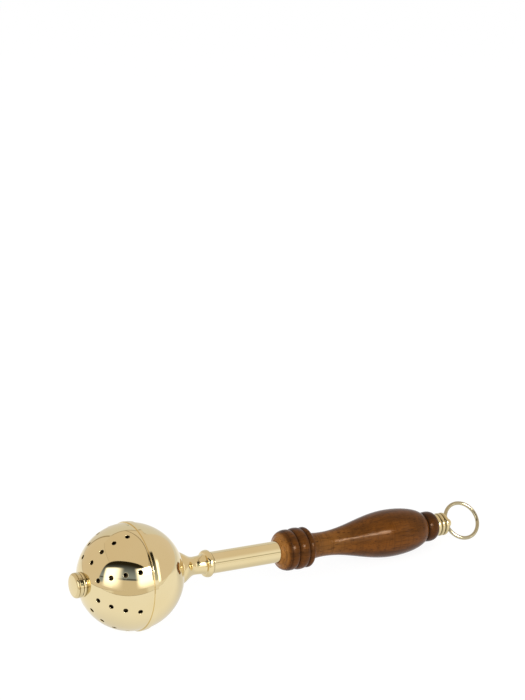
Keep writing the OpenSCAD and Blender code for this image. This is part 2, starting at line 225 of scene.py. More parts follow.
# %% [markdown]
# ## The studio
#
# Polished brass has almost no look of its own: it shows the room. The photograph's ball mirrors a
# white table, a tan light tent with its seams, a white backdrop behind and, towards the camera, an
# arched opening into a dark room with a bright softbox on each side. A modelled room would do, but a
# picture on the sky, drawn by formulas, is quicker to render and keeps its place at every pose.
#
# Unwrapped, the ball gives the place of each thing: a bearing from the camera, in degrees to the
# right, and a height. The opening and the left softbox lie in a plane that faces a little to the
# camera's left, so there the height is a rise for each step away. The rim band and the tube mirror one
# more part, a swing away from the tool axis that the ball can't show: a dark gap beside the right
# softbox and a bright wall with a dark line. All this is seen only in mirrors. Diffuse surfaces get
# plain white light, weaker from above, at the level at which a colour looks as written.

# %% Measures of a direction
OPENING_FACES = np.radians(-15)
LEAST_FACING = 0.001

towards_camera = unit(CAMERA_FROM_BALL * (1, 1, 0))
to_the_right = np.cross((0, 0, 1), towards_camera)
opening_axis = np.cos(OPENING_FACES) * towards_camera + np.sin(OPENING_FACES) * to_the_right

world = bpy.data.worlds.new("light_tent")
world.use_nodes = True
bpy.context.scene.world = world
sky = world.node_tree
sky.nodes.clear()
direction = add_node(sky, "ShaderNodeTexCoord").outputs["Generated"]
up = part_along(sky, direction, (0, 0, 1))
rightwards = part_along(sky, direction, to_the_right)
forwards = part_along(sky, direction, towards_camera)
bearing = math(sky, "DEGREES", math(sky, "ARCTAN2", rightwards, forwards))
height = math(sky, "DEGREES", math(sky, "ARCSINE", up))
facing = math(sky, "MAXIMUM", part_along(sky, direction, opening_axis), LEAST_FACING)
rise = math(sky, "DIVIDE", up, facing)
swing = math(sky, "DEGREES", math(sky, "ARCCOSINE", part_along(sky, direction, AXIS)))
print("towards the camera:", np.round(towards_camera, 3), "to the right:", np.round(to_the_right, 3))

# %% Painting on the sky


def paint(picture, across, upright, colour):
    """Paints a colour over a picture where two shares are both 1."""
    return blend(sky, times(sky, across, upright), picture, colour)


def leaning(measure, other, lean):
    """A measure that grows with another one, for an edge that leans: measure + lean * other."""
    return math(sky, "ADD", measure, times(sky, other, lean))


def window(first, second, edges):
    """Is 1 after the first edge of one measure and before the second edge of another."""
    return times(sky, ease(sky, first, *edges[0]), fade(sky, second, *edges[1]))


# %% Ceiling panel and backdrop
TENT = (0.79, 0.71, 0.62, 1.0)
CEILING = (0.77, 0.68, 0.575, 1.0)
TENT_SEAM = (0.42, 0.36, 0.28, 1.0)
DARK_SEAM = (0.26, 0.21, 0.15, 1.0)
BACKDROP = (0.77, 0.77, 0.77, 1.0)
# An edge is where a change starts and where it ends. A strip is its low, its high and their softness
LEAST_UP = 0.05
PANEL_SLANT = 0.58
PANEL_SIDES = (-0.95, -0.91), (0.60, 0.63)
PANEL_FOOT = (37, 39)
LEFT_SEAM = (-0.955, -0.925, 0.02)
LEFT_SEAM_SHARE = 0.5
RIGHT_SEAM = (0.60, 0.635, 0.012)
BACKDROP_SIDE = (149, 155)
BACKDROP_TOP = (35, 37)
TOP_SEAM = (36.5, 38.5, 0.6)
SIDE_SEAM = (-152, -149, 0.8)

level_up = math(sky, "MAXIMUM", up, LEAST_UP)
from_left = math(sky, "DIVIDE", rightwards, level_up)
slant = times(sky, math(sky, "DIVIDE", forwards, level_up), PANEL_SLANT)
from_right = math(sky, "SUBTRACT", from_left, slant)
overhead = ease(sky, height, *PANEL_FOOT)
studio = paint(TENT, window(from_left, from_right, PANEL_SIDES), overhead, CEILING)
studio = paint(studio, between(sky, from_right, *RIGHT_SEAM), overhead, DARK_SEAM)
faint = times(sky, overhead, LEFT_SEAM_SHARE)
studio = paint(studio, between(sky, from_left, *LEFT_SEAM), faint, TENT_SEAM)
behind = ease(sky, math(sky, "ABSOLUTE", bearing), *BACKDROP_SIDE)
low_down = fade(sky, height, *BACKDROP_TOP)
studio = paint(studio, behind, low_down, BACKDROP)
studio = paint(studio, behind, between(sky, height, *TOP_SEAM), TENT_SEAM)
studio = paint(studio, between(sky, bearing, *SIDE_SEAM), low_down, TENT_SEAM)
print("tent, ceiling panel and backdrop:", len(sky.nodes), "nodes so far")

# %% Opening
ROOM_TOP = (0.022, 0.018, 0.010, 1.0)
ROOM_LOW = (0.30, 0.37, 0.48, 1.0)
LEDGE = (0.06, 0.055, 0.045, 1.0)
SPILL = (0.90, 0.87, 0.80, 1.0)
BOARD = (0.73, 0.655, 0.54, 1.0)
OPENING_MIDDLE = -13.0
OPENING_HALF = 58.0
OPENING_RISE = 1.67
OPENING_RIM = (0.82, 1.18)
OPENING_FOOT = (0.09, 0.17)
ARCH_POWER = 7.0
ROOM_SHADES = (0.35, 1.35)
LEDGE_STRIP = (0.37, 0.43, 0.035)
SPILL_STRIP = (-62, 62, 4)
SPILL_TOP = (0.1, 0.3)
BOARD_STRIP = (-38, 26, 3)
BOARD_TOP = (0.34, 0.37)

room = blend(sky, ease(sky, rise, *ROOM_SHADES), ROOM_LOW, ROOM_TOP)
room = blend(sky, between(sky, rise, *LEDGE_STRIP), room, LEDGE)
off_middle = math(sky, "DIVIDE", math(sky, "SUBTRACT", bearing, OPENING_MIDDLE), OPENING_HALF)
off_floor = math(sky, "MAXIMUM", math(sky, "DIVIDE", rise, OPENING_RISE), 0.0)
sides = math(sky, "POWER", math(sky, "ABSOLUTE", off_middle), ARCH_POWER)
arch = math(sky, "ADD", sides, math(sky, "POWER", off_floor, ARCH_POWER))
studio = paint(studio, fade(sky, arch, *OPENING_RIM), ease(sky, rise, *OPENING_FOOT), room)
studio = paint(studio, between(sky, bearing, *SPILL_STRIP), fade(sky, rise, *SPILL_TOP), SPILL)
studio = paint(studio, between(sky, bearing, *BOARD_STRIP), fade(sky, rise, *BOARD_TOP), BOARD)
print("opening: %.0f degrees wide" % (2 * OPENING_HALF))

# %% Softboxes
SOFTBOX = (2.4, 2.4, 2.4, 1.0)
SOFTBOX_CORE = (27.0, 27.0, 27.0, 1.0)
LEFT_BOX_LEAN = 7.0
LEFT_BOX_SIDES = (-61, -53), (-43, -13)
LEFT_BOX_ENDS = (-0.12, 0.36), (0.88, 1.05)
RIGHT_BOX_LEAN = 0.16
RIGHT_BOX_SIDES = (11, 24), (56, 64)
RIGHT_BOX_ENDS = (-5, 16), (41.5, 47)
CORE_LEAN = 0.14
CORE_SIDES = (35, 54, 3)
CORE_ENDS = (32, 43, 2)

left_across = window(leaning(bearing, rise, LEFT_BOX_LEAN), bearing, LEFT_BOX_SIDES)
studio = paint(studio, left_across, window(rise, rise, LEFT_BOX_ENDS), SOFTBOX)
right_upright = window(height, leaning(height, bearing, RIGHT_BOX_LEAN), RIGHT_BOX_ENDS)
studio = paint(studio, window(bearing, bearing, RIGHT_BOX_SIDES), right_upright, SOFTBOX)
core_upright = between(sky, leaning(height, bearing, CORE_LEAN), *CORE_ENDS)
studio = paint(studio, between(sky, bearing, *CORE_SIDES), core_upright, SOFTBOX_CORE)
print("softboxes: two, the right one with a bright core")

# %% What the rim band and the tube mirror
WHITE = (1.0, 1.0, 1.0, 1.0)
WALL_LINE = (0.50, 0.46, 0.38, 1.0)
GAP_LOW = (0.52, 0.57, 0.54, 1.0)
FRONT_SIDE = (84, 92)
WALL_SIDES = (48.5, 66, 0.3)
WALL_TOP = (50, 54)
WALL_SHADES = (24, 50)
WALL_LINE_STRIP = (8.5, 15.5, 2)
GAP_SIDES = (63.4, 68, 0.3)
GAP_ENDS = (9, 55, 3)
GAP_SHADES = (10, 46)
BRIGHT_SIDES = (48.5, 51.5, 0.3)
BRIGHT_ENDS = (2, 33, 3)

in_front = fade(sky, bearing, *FRONT_SIDE)
wall = blend(sky, ease(sky, height, *WALL_SHADES), WHITE, TENT)
wall = blend(sky, between(sky, height, *WALL_LINE_STRIP), wall, WALL_LINE)
wall_upright = times(sky, fade(sky, height, *WALL_TOP), in_front)
studio = paint(studio, between(sky, swing, *WALL_SIDES), wall_upright, wall)
gap = blend(sky, ease(sky, height, *GAP_SHADES), GAP_LOW, ROOM_TOP)
gap_upright = times(sky, between(sky, height, *GAP_ENDS), in_front)
studio = paint(studio, between(sky, swing, *GAP_SIDES), gap_upright, gap)
bright_upright = times(sky, between(sky, height, *BRIGHT_ENDS), in_front)
studio = paint(studio, between(sky, swing, *BRIGHT_SIDES), bright_upright, SOFTBOX)
print("wall, dark gap and bright strip: swings of %.1f to %.0f degrees" % (WALL_SIDES[0], GAP_SIDES[1]))

# %% What each kind of ray sees
PLAIN_LIGHT = (0.72, 0.72, 0.72, 1.0)
PLAIN_TOP = (0.36, 0.36, 0.36, 1.0)
PLAIN_SHADES = (0.1, 0.9)

sky_rays = add_node(sky, "ShaderNodeLightPath").outputs
plain_light = blend(sky, ease(sky, up, *PLAIN_SHADES), PLAIN_LIGHT, PLAIN_TOP)
mirrored = blend(sky, sky_rays["Is Glossy Ray"], plain_light, studio)
seen = blend(sky, sky_rays["Is Camera Ray"], mirrored, WHITE)
background = add_node(sky, "ShaderNodeBackground", inputs={"Color": seen, "Strength": 1.0})
add_node(sky, "ShaderNodeOutputWorld", inputs={"Surface": background.outputs[0]})
print("world: tent, dark room, softboxes and plain light in", len(sky.nodes), "nodes")

# %% [markdown]
# ## Lamps
#
# What the softboxes do to diffuse surfaces, the light on the wood and the soft shadow, comes from two
# area lamps at the same bearings. The mirrors already have their picture, so they don't see the lamps.

# %% Lamps
LAMP_DISTANCE = 1.2
LAMP_WIDTH = 0.76
LAMP_HEIGHT = 0.86
LAMP_RISE = np.radians(23)
# Each lamp's bearing to the right of the camera, in degrees, and its glow
LAMPS = {"left_softbox": (-47, 2.7), "right_softbox": (36, 1.8)}


def softbox(name, turned_right, brightness):
    """A square-on area lamp, turned from the camera's direction to the right by an angle."""
    lamp = bpy.data.lights.new(name, "AREA")
    lamp.shape = "RECTANGLE"
    lamp.size = LAMP_WIDTH
    lamp.size_y = LAMP_HEIGHT
    # A rectangular lamp of area A glows with a quarter of its power for each square metre
    lamp.energy = 4 * brightness * LAMP_WIDTH * LAMP_HEIGHT
    level = np.cos(turned_right) * towards_camera + np.sin(turned_right) * to_the_right
    outwards = np.cos(LAMP_RISE) * level + np.sin(LAMP_RISE) * np.array([0, 0, 1])
    stand = bpy.data.objects.new(name, lamp)
    stand.location = CENTRE + LAMP_DISTANCE * outwards
    yaw = np.arctan2(level[1], level[0]) + np.pi / 2
    stand.rotation_euler = (np.pi / 2 - LAMP_RISE, 0, yaw)
    stand.visible_camera = False
    stand.visible_glossy = False
    bpy.context.scene.collection.objects.link(stand)


for lamp_name, (lamp_bearing, lamp_glow) in LAMPS.items():
    softbox(lamp_name, np.radians(lamp_bearing), lamp_glow)
print("lamps:", ", ".join(LAMPS))

# %% [markdown]
# ## The table
#
# A plain white table carries the sprinkler and fades into the white background. Its own light makes
# it white, and a small diffuse share keeps the sprinkler's soft shadow. In mirrors it ends at a front
# edge, the fine curved line below the softboxes on the ball. There a tan board goes on, paler under
# the softboxes, and on the left the table ends at the tent. It is a little greyer behind, and a painted
# shadow darkens it under the sprinkler. One square with a material that knows these places is enough
# for all of it.

# %% Table
TABLE_HALF = 4.0
TABLE_DROP = 0.00002

table_mesh = bpy.data.meshes.new("white_table")
table_corners = np.array([[-1, -1, 0], [1, -1, 0], [1, 1, 0], [-1, 1, 0]]) * TABLE_HALF
table_mesh.from_pydata((table_corners - (0, 0, TABLE_DROP)).tolist(), [], [(0, 1, 2, 3)])
table = bpy.data.objects.new("white_table", table_mesh)
bpy.context.scene.collection.objects.link(table)
print("table: %.0f m square" % (2 * TABLE_HALF))

# %% The table in mirrors
FRONT_EDGE = 0.145
FRONT_SOFT = 0.001
FRONT_LINE = 0.007
LEFT_EDGE = -0.26
LEFT_START = 0.003
LEFT_LINE = 0.02
LEFT_SOFT = 0.002
EDGE_DARK = (0.36, 0.31, 0.25, 1.0)
LEAST_AHEAD = 0.01
BOARD_FAN = (-0.70, 0.66, 0.12)
BACK_SHADES = (-0.30, -0.05)
# The next three values set the painted shadow under the sprinkler in the mirrored table
SHADE = 0.23
SHADE_REACH = 0.036
SHADE_STRIP = (-0.11, 0.10, 0.02)

paper = bpy.data.materials.new("white_table")
paper.use_nodes = True
sheet = paper.node_tree
sheet.nodes.clear()
table_spot = add_node(sheet, "ShaderNodeTexCoord").outputs["Object"]
ahead = part_along(sheet, table_spot, towards_camera)
ahead = math(sheet, "SUBTRACT", ahead, CENTRE @ towards_camera)
sideways = part_along(sheet, table_spot, to_the_right)
sideways = math(sheet, "SUBTRACT", sideways, CENTRE @ to_the_right)
fan = math(sheet, "DIVIDE", sideways, math(sheet, "MAXIMUM", ahead, LEAST_AHEAD))
board = blend(sheet, between(sheet, fan, *BOARD_FAN), SPILL, BOARD)
floor = blend(sheet, ease(sheet, ahead, *BACK_SHADES), BACKDROP, WHITE)
past_edge = ease(sheet, ahead, FRONT_EDGE - FRONT_SOFT, FRONT_EDGE + FRONT_SOFT)
floor = blend(sheet, past_edge, floor, board)
front_line = between(sheet, ahead, FRONT_EDGE, FRONT_EDGE + FRONT_LINE, FRONT_SOFT)
floor = blend(sheet, front_line, floor, EDGE_DARK)
floor = blend(sheet, ease(sheet, sideways, LEFT_EDGE, LEFT_EDGE + LEFT_START), TENT, floor)
left_line = between(sheet, sideways, LEFT_EDGE, LEFT_EDGE + LEFT_LINE, LEFT_SOFT)
floor = blend(sheet, left_line, floor, EDGE_DARK)
# Painted shadow: in mirrors the table is darker in a strip under the sprinkler
beside = math(sheet, "ABSOLUTE", part_along(sheet, table_spot, LEVEL))
under = between(sheet, part_along(sheet, table_spot, (1, 0, 0)), *SHADE_STRIP)
shade = times(sheet, ease(sheet, beside, 0, SHADE_REACH, SHADE, 0), under)
floor_light = math(sheet, "SUBTRACT", 1.0, shade)
mirror_floor = add_node(sheet, "ShaderNodeEmission", inputs={"Color": floor, "Strength": floor_light})
print("table in mirrors: ends %.0f mm in front of the ball's middle" % (1000 * FRONT_EDGE))

# %% The table in the picture
TABLE_WHITE = (0.86, 0.86, 0.86, 1.0)
SHOWN_GLOW = 0.90
SHOWN_SHADOW = (0.20, 0.20, 0.20, 1.0)


def mix_shaders(share, first, second):
    """Mixes the results of two shaders of the table by a share."""
    inputs = {0: share, 1: first.outputs[0], 2: second.outputs[0]}
    return add_node(sheet, "ShaderNodeMixShader", inputs=inputs)


plain_white = add_node(sheet, "ShaderNodeBsdfDiffuse", inputs={"Color": TABLE_WHITE})
own_light = add_node(sheet, "ShaderNodeEmission", inputs={"Strength": SHOWN_GLOW})
shadowed = add_node(sheet, "ShaderNodeBsdfDiffuse", inputs={"Color": SHOWN_SHADOW})
shown = add_node(sheet, "ShaderNodeAddShader", inputs={0: own_light.outputs[0], 1: shadowed.outputs[0]})
table_rays = add_node(sheet, "ShaderNodeLightPath").outputs
looked_at = math(sheet, "MAXIMUM", table_rays["Is Camera Ray"], table_rays["Is Transmission Ray"])
table_top = mix_shaders(looked_at, plain_white, shown)
table_top = mix_shaders(table_rays["Is Glossy Ray"], table_top, mirror_floor)
add_node(sheet, "ShaderNodeOutputMaterial", inputs={"Surface": table_top.outputs[0]})
table_mesh.materials.append(paper)
print("table material:", len(sheet.nodes), "nodes")

# %% [markdown]
# ## Brass
#
# The brass is mirror polished and lacquered. One plain colour would make a computer's gold of it, and
# three things keep it from that: the colour drifts a little, hand polish leaves the gloss uneven, and
# the lathe leaves very fine rings on the turned pieces. The rings follow the tool axis, so the pattern
# is worked out in the tool's own axes, to which a Mapping node turns the object's coordinates. In the
# grooves, where the polishing cloth doesn't reach, the brass is tarnished. The mesh marks these
# places.

# %% Helpers for finishes
TOOL_TURN = (0.0, np.pi / 2 + np.arcsin(-AXIS[2]), 0.0)


def new_finish(name):
    """An empty material with a Principled shader, and its node tree."""
    material = bpy.data.materials.new(name)
    material.use_nodes = True
    tree = material.node_tree
    tree.nodes.clear()
    shader = add_node(tree, "ShaderNodeBsdfPrincipled")
    add_node(tree, "ShaderNodeOutputMaterial", inputs={"Surface": shader.outputs[0]})
    return material, tree, shader


def tool_coordinates(tree):
    """Object coordinates turned so that z runs along the tool axis from the ball's middle."""
    place_of = add_node(tree, "ShaderNodeTexCoord").outputs["Object"]
    inputs = {"Vector": place_of, "Location": CENTRE, "Rotation": TOOL_TURN}
    return add_node(tree, "ShaderNodeMapping", {"vector_type": "TEXTURE"}, inputs).outputs[0]


def mark_of(tree, name):
    """A value from 0 to 1 that the mesh carries at each of its points."""
    return add_node(tree, "ShaderNodeAttribute", {"attribute_name": name}).outputs["Fac"]


def noise(tree, vector, patches, detail, roughness=0.5, stretch=(1, 1, 1)):
    """Noise with so many patches to the metre, drawn out along an axis by a small stretch."""
    drawn = add_node(tree, "ShaderNodeMapping", inputs={"Vector": vector, "Scale": stretch}).outputs[0]
    inputs = {"Vector": drawn, "Scale": patches, "Detail": detail, "Roughness": roughness}
    return add_node(tree, "ShaderNodeTexNoise", inputs=inputs).outputs[0]


def bump(tree, relief, distance):
    """A normal bent by a relief from 0 to 1 that stands for a distance in metres."""
    inputs = {"Height": relief, "Distance": distance, "Strength": 1.0}
    return add_node(tree, "ShaderNodeBump", inputs=inputs).outputs[0]


# %% Brass
TARNISH = (0.125, 0.088, 0.018, 1.0)
DEEPER = (0.985, 0.965, 0.92)
# Noises: patches to the metre, detail, roughness and stretch
BRASS_DRIFT = (38, 4)
BRASS_SMEARS = (160, 6, 0.65, (1, 1, 0.35))
BRASS_RINGS = (2600, 2, 0.6)
# Noise stays near 0.5, so a mix runs from one end to the other between two values about it
WIDE = (0.3, 0.7)
NARROW = (0.35, 0.65)
SMEARED = (0.42, 0.75)


def brass(name, colour, gloss, dull, ring_depth):
    """Polished brass: colour and gloss drift from patch to patch, and lathe rings bend the mirror."""
    material, tree, shader = new_finish(name)
    spot = tool_coordinates(tree)
    drift = ease(tree, noise(tree, spot, *BRASS_DRIFT), *WIDE)
    deeper = tuple(np.array(colour) * DEEPER) + (1.0,)
    clean = blend(tree, drift, colour + (1.0,), deeper)
    parts = add_node(tree, "ShaderNodeSeparateXYZ", inputs={0: spot}).outputs
    squares = [math(tree, "POWER", parts[side], 2.0) for side in (0, 1)]
    radius = math(tree, "SQRT", math(tree, "ADD", *squares))
    ring = add_node(tree, "ShaderNodeCombineXYZ", inputs={0: radius, 2: parts[2]}).outputs[0]
    fill(tree, shader, {
        "Base Color": blend(tree, mark_of(tree, "tarnish"), clean, TARNISH),
        "Roughness": ease(tree, noise(tree, spot, *BRASS_SMEARS), *SMEARED, gloss, dull),
        "Normal": bump(tree, noise(tree, ring, *BRASS_RINGS), ring_depth),
        "Metallic": 1.0})
    return material


polished_brass = brass("polished_brass", (0.82, 0.69, 0.41), gloss=0.02, dull=0.06, ring_depth=5e-7)
turned_brass = brass("turned_brass", (0.81, 0.67, 0.38), gloss=0.04, dull=0.11, ring_depth=1e-6)
ring_brass = brass("ring_brass", (0.50, 0.44, 0.29), gloss=0.07, dull=0.15, ring_depth=2e-7)
print("finishes: polished, turned and drawn brass")

# %% [markdown]
# ## Wood
#
# The handle is a close-grained reddish hardwood, stained and varnished. Its fibres run along the
# axis: broad streaks, fine fibre lines and short dark pores are the same noise at three scales, each
# drawn out along the grain, and the lathe tool left faint rings across it. A picture of wood would
# need a seam, and noise in the solid has none. The stain is darker where it gathered in the grooves
# and on the beads, and the grooves get painted shade in the same mark. The wood is worn paler at the
# front and round the waist, where fingers rub it. The mesh marks both in attributes. The varnish is
# thin and has gone warm with age, so its gloss is weak and a little tinted.

# %% Wood
WOOD_LIGHT = (0.195, 0.063, 0.009, 1.0)
WOOD_DARK = (0.085, 0.029, 0.0055, 1.0)
# The colour of the stain, and of the painted shade in the grooves
STAIN_AND_SHADE_COLOUR = (0.022, 0.0075, 0.003, 1.0)
WOOD_WORN = (0.40, 0.168, 0.038, 1.0)
PORE = (0.030, 0.010, 0.004, 1.0)
VARNISH_TINT = (1.0, 0.74, 0.52, 1.0)
VARNISH_GLOSS = 0.15
VARNISH_ROUGHNESS = (0.11, 0.18)
STREAKS = (170, 5, 0.6, (1, 1, 0.07))
FIBRES = (1300, 3, 0.6, (1, 1, 0.03))
PORES = (2600, 2, 0.5, (1, 1, 0.06))
WOOD_RINGS = (900, 3, 0.6, (0.12, 0.12, 1))
STREAK_PART = 0.72
FIBRE_PART = 0.28
RING_SHARE = (0.48, 0.68, 0.0, 0.45)
PORE_SHARE = (0.575, 0.70, 0.0, 0.75)
FIBRE_RELIEF = 0.4
GRAIN_DEPTH = 0.000012


def varnished_wood():
    """Streaks, fibres and pores along the grain under a thin varnish."""
    material, tree, shader = new_finish("handle_wood")
    spot = tool_coordinates(tree)
    fibres = noise(tree, spot, *FIBRES)
    streaks = times(tree, noise(tree, spot, *STREAKS), STREAK_PART)
    figure = math(tree, "ADD", streaks, times(tree, fibres, FIBRE_PART))
    pores = ease(tree, noise(tree, spot, *PORES), *PORE_SHARE)
    rings = ease(tree, noise(tree, spot, *WOOD_RINGS), *RING_SHARE)
    colour = blend(tree, ease(tree, figure, *NARROW), WOOD_DARK, WOOD_LIGHT)
    colour = blend(tree, mark_of(tree, "worn"), colour, WOOD_WORN)
    colour = blend(tree, rings, colour, WOOD_DARK)
    colour = blend(tree, pores, colour, PORE)
    relief = math(tree, "SUBTRACT", times(tree, fibres, FIBRE_RELIEF), pores)
    # The mesh's mark darkens the colour with stain, and with painted shade in the grooves
    fill(tree, shader, {
        "Base Color": blend(tree, mark_of(tree, "stain_and_shade"), colour, STAIN_AND_SHADE_COLOUR),
        "Roughness": ease(tree, fibres, *WIDE, *VARNISH_ROUGHNESS),
        "Normal": bump(tree, relief, GRAIN_DEPTH),
        "Specular IOR Level": VARNISH_GLOSS,
        "Specular Tint": VARNISH_TINT})
    return material


handle_wood = varnished_wood()
print("finish: varnished wood in", len(handle_wood.node_tree.nodes), "nodes")

# %% [markdown]
# ## Steel, leather and sponge
#
# The hidden pieces get their finishes too, because the ball opens: zinc plated steel for the rod and
# its nut, oiled leather for the washer under the knob, and a damp natural sponge that holds the water.
# Steel and leather are alike in their build, two colours in patches, so one function makes both.

# %% Steel and leather
STEEL_LIGHT = (0.62, 0.62, 0.60, 1)
STEEL_DARK = (0.50, 0.50, 0.49, 1)
LEATHER_LIGHT = (0.16, 0.085, 0.045, 1)
LEATHER_DARK = (0.07, 0.035, 0.02, 1)
GRAIN_DETAIL = 6
GRAIN_ROUGHNESS = 0.6
DULL_PATCHES = 0.1


def mottled(name, light, dark, patches, roughness, relief, metallic=0.0):
    """A plain finish of two colours in patches, with a relief of the same grain."""
    material, tree, shader = new_finish(name)
    grain = noise(tree, tool_coordinates(tree), patches, GRAIN_DETAIL, GRAIN_ROUGHNESS)
    fill(tree, shader, {
        "Base Color": blend(tree, ease(tree, grain, *NARROW), dark, light),
        "Roughness": ease(tree, grain, *WIDE, roughness + DULL_PATCHES, roughness),
        "Normal": bump(tree, grain, relief),
        "Metallic": metallic})
    return material


plated_steel = mottled("plated_steel", STEEL_LIGHT, STEEL_DARK, patches=700, roughness=0.28,
                       relief=0.000006, metallic=1.0)
washer_leather = mottled("washer_leather", LEATHER_LIGHT, LEATHER_DARK, patches=1500, roughness=0.55,
                         relief=0.00004)
print("finishes: steel and leather")

# %% Sponge finish
SPONGE_FIBRE = (0.30, 0.21, 0.095, 1.0)
SPONGE_WET = (0.13, 0.085, 0.035, 1.0)
# Painted shade, almost black, for the pits of the sponge
SPONGE_PIT_SHADE = (0.010, 0.007, 0.003, 1.0)
SPONGE_GRAIN = (1400, 6, 0.7)
SPONGE_ROUGHNESS = (0.75, 0.95)
SPONGE_RELIEF = 0.0003
PIT_SHADES = (0.05, 0.6)


def damp_sponge():
    """Sponge fibre, darker where it is wet, with painted shade, almost black, in the pits, which the mesh marks.
    """
    material, tree, shader = new_finish("natural_sponge")
    fibre = noise(tree, tool_coordinates(tree), *SPONGE_GRAIN)
    colour = blend(tree, ease(tree, fibre, *NARROW), SPONGE_WET, SPONGE_FIBRE)
    # The pits, which the mesh marks, get painted shade
    fill(tree, shader, {
        "Base Color": blend(tree, ease(tree, mark_of(tree, "pit"), *PIT_SHADES), colour, SPONGE_PIT_SHADE),
        "Roughness": ease(tree, fibre, *WIDE, *SPONGE_ROUGHNESS),
        "Normal": bump(tree, fibre, SPONGE_RELIEF)})
    return material


natural_sponge = damp_sponge()
print("finish: damp sponge")

# %% [markdown]
# ## From a grid of points to a piece
#
# Each piece is a function of two parameters on a grid. These cells turn such a grid into a mesh: they
# weld points that fall together, as at a pole or where two patches meet, drop the corners that
# vanish there, and turn the faces outwards, which the sign of the enclosed volume tells. The piece
# then rides on its body and stands for its CAD solid, and the difference of their boxes is printed.

# %% Faces of a grid


def grid(rows, columns, closed):
    """Corner numbers of a grid's faces. Its columns run round, and its rows too if it is closed."""
    number = np.arange(rows * columns).reshape(rows, columns)
    beside = np.roll(number, -1, axis=1)
    faces = np.stack([number, beside, np.roll(beside, -1, axis=0), np.roll(number, -1, axis=0)], -1)
    return faces[: rows if closed else rows - 1].reshape(-1, 4)


def outward(points, faces):
    """Turns the faces of a closed patch outwards: the volume that they enclose has to be positive."""
    a, b, c, d = (points[faces[:, k]] for k in range(4))
    volume = np.sum(np.cross(a, b) * c) + np.sum(np.cross(a, c) * d)
    return faces if volume > 0 else faces[:, ::-1]


print("a closed grid of 3 by 4 points has", len(grid(3, 4, True)), "faces")

# %% Mesh of a piece
WELD = 1e-8
CREASE = np.radians(32)


def make_piece(name, points, faces, normals=None, marks=None):
    """Welds a grid into one closed mesh with outward faces. Marks are named values, one a point."""
    cells = np.round(points / WELD).astype(np.int64)
    _, first, welded = np.unique(cells, axis=0, return_index=True, return_inverse=True)
    points = points[first]
    faces = outward(points, welded.reshape(-1)[faces])
    kept_corners = faces != np.roll(faces, 1, axis=1)
    sides_of_face = kept_corners.sum(axis=1)
    whole = sides_of_face > 2
    loops = faces[whole][kept_corners[whole]]
    starts = np.cumsum(sides_of_face[whole]) - sides_of_face[whole]
    mesh = bpy.data.meshes.new(name)
    mesh.vertices.add(len(points))
    mesh.vertices.foreach_set("co", points.ravel())
    mesh.loops.add(len(loops))
    mesh.loops.foreach_set("vertex_index", loops)
    mesh.polygons.add(len(starts))
    mesh.polygons.foreach_set("loop_start", starts)
    mesh.update(calc_edges=True)
    mesh.polygons.foreach_set("use_smooth", np.ones(len(starts), bool))
    if normals is None:
        mesh.set_sharp_from_angle(angle=CREASE)
    else:
        mesh.normals_split_custom_set_from_vertices(normals[first])
    for mark, values in (marks or {}).items():
        mesh.attributes.new(mark, "FLOAT", "POINT").data.foreach_set("value", values[first])
    piece = bpy.data.objects.new(name, mesh)
    bpy.context.scene.collection.objects.link(piece)
    return piece


# %% Dressing a piece


def dress(piece, node, body, finish):
    """Gives a piece its finish, lets it ride on its body and stand for its CAD solid."""
    piece.data.materials.append(finish)
    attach(piece, body)
    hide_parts(node)
    points = mesh_points(piece.data)
    low, high = (np.array(corner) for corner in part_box(node))
    off = max(np.abs(points.min(0) - low).max(), np.abs(points.max(0) - high).max())
    faces = len(piece.data.polygons)
    print("%s: %d faces, box within %.3f mm of its solid" % (piece.name, faces, off * 1000))


# %% [markdown]
# ## Outlines
#
# A turned piece is an outline carried round the axis. The outline of a solid is read from the frame:
# the widest ring of corners at each place along the axis. A smooth curve then goes through the rings,
# except at real creases such as the bottom of a groove, and sharp machined corners get a small round.
# The solids themselves have flat facets, which a mirror polish would show.

# %% Reading an outline
SAME_PLACE = 2e-6
# Rings wider than a bore or a spigot by this factor belong to the outside
WIDER = 1.02


def skin(node, inner_r):
    """The rings of corners outside an inner radius, in order: along and away for each."""
    along, away = corners(node)
    order = np.argsort(along)
    order = order[away[order] > inner_r * WIDER]
    starts = np.flatnonzero(np.diff(along[order], prepend=-1) > SAME_PLACE)
    return np.stack([along[order][starts], np.maximum.reduceat(away[order], starts)], axis=1)


def reach_at(node, where):
    """The nearest and the furthest corner from the axis at one place along it."""
    along, away = corners(node)
    there = away[np.abs(along - where) < SAME_PLACE]
    return there.min(), there.max()


def span_at(node, radius):
    """The first and the last place along the axis with a corner at one distance from it."""
    along, away = corners(node)
    there = along[np.abs(away - radius) < SAME_PLACE]
    return there.min(), there.max()


def hollows(rings):
    """Places of the hollow corners, such as a groove's bottom: the outline turns outwards sharply."""
    before, after = np.diff(rings[:-1], axis=0), np.diff(rings[1:], axis=0)
    across = before[:, 0] * after[:, 1] - before[:, 1] * after[:, 0]
    return rings[1:-1, 0][np.arctan2(across, np.sum(before * after, axis=1)) > CREASE]


neck_skin = skin("neck", corners("neck")[1].min())
print("neck: %d rings of corners, %d hollow ones" % (len(neck_skin), len(hollows(neck_skin))))

# %% Smooth curves, soft corners and arcs
CURVE_STEPS = 3
CORNER_STEPS = 5


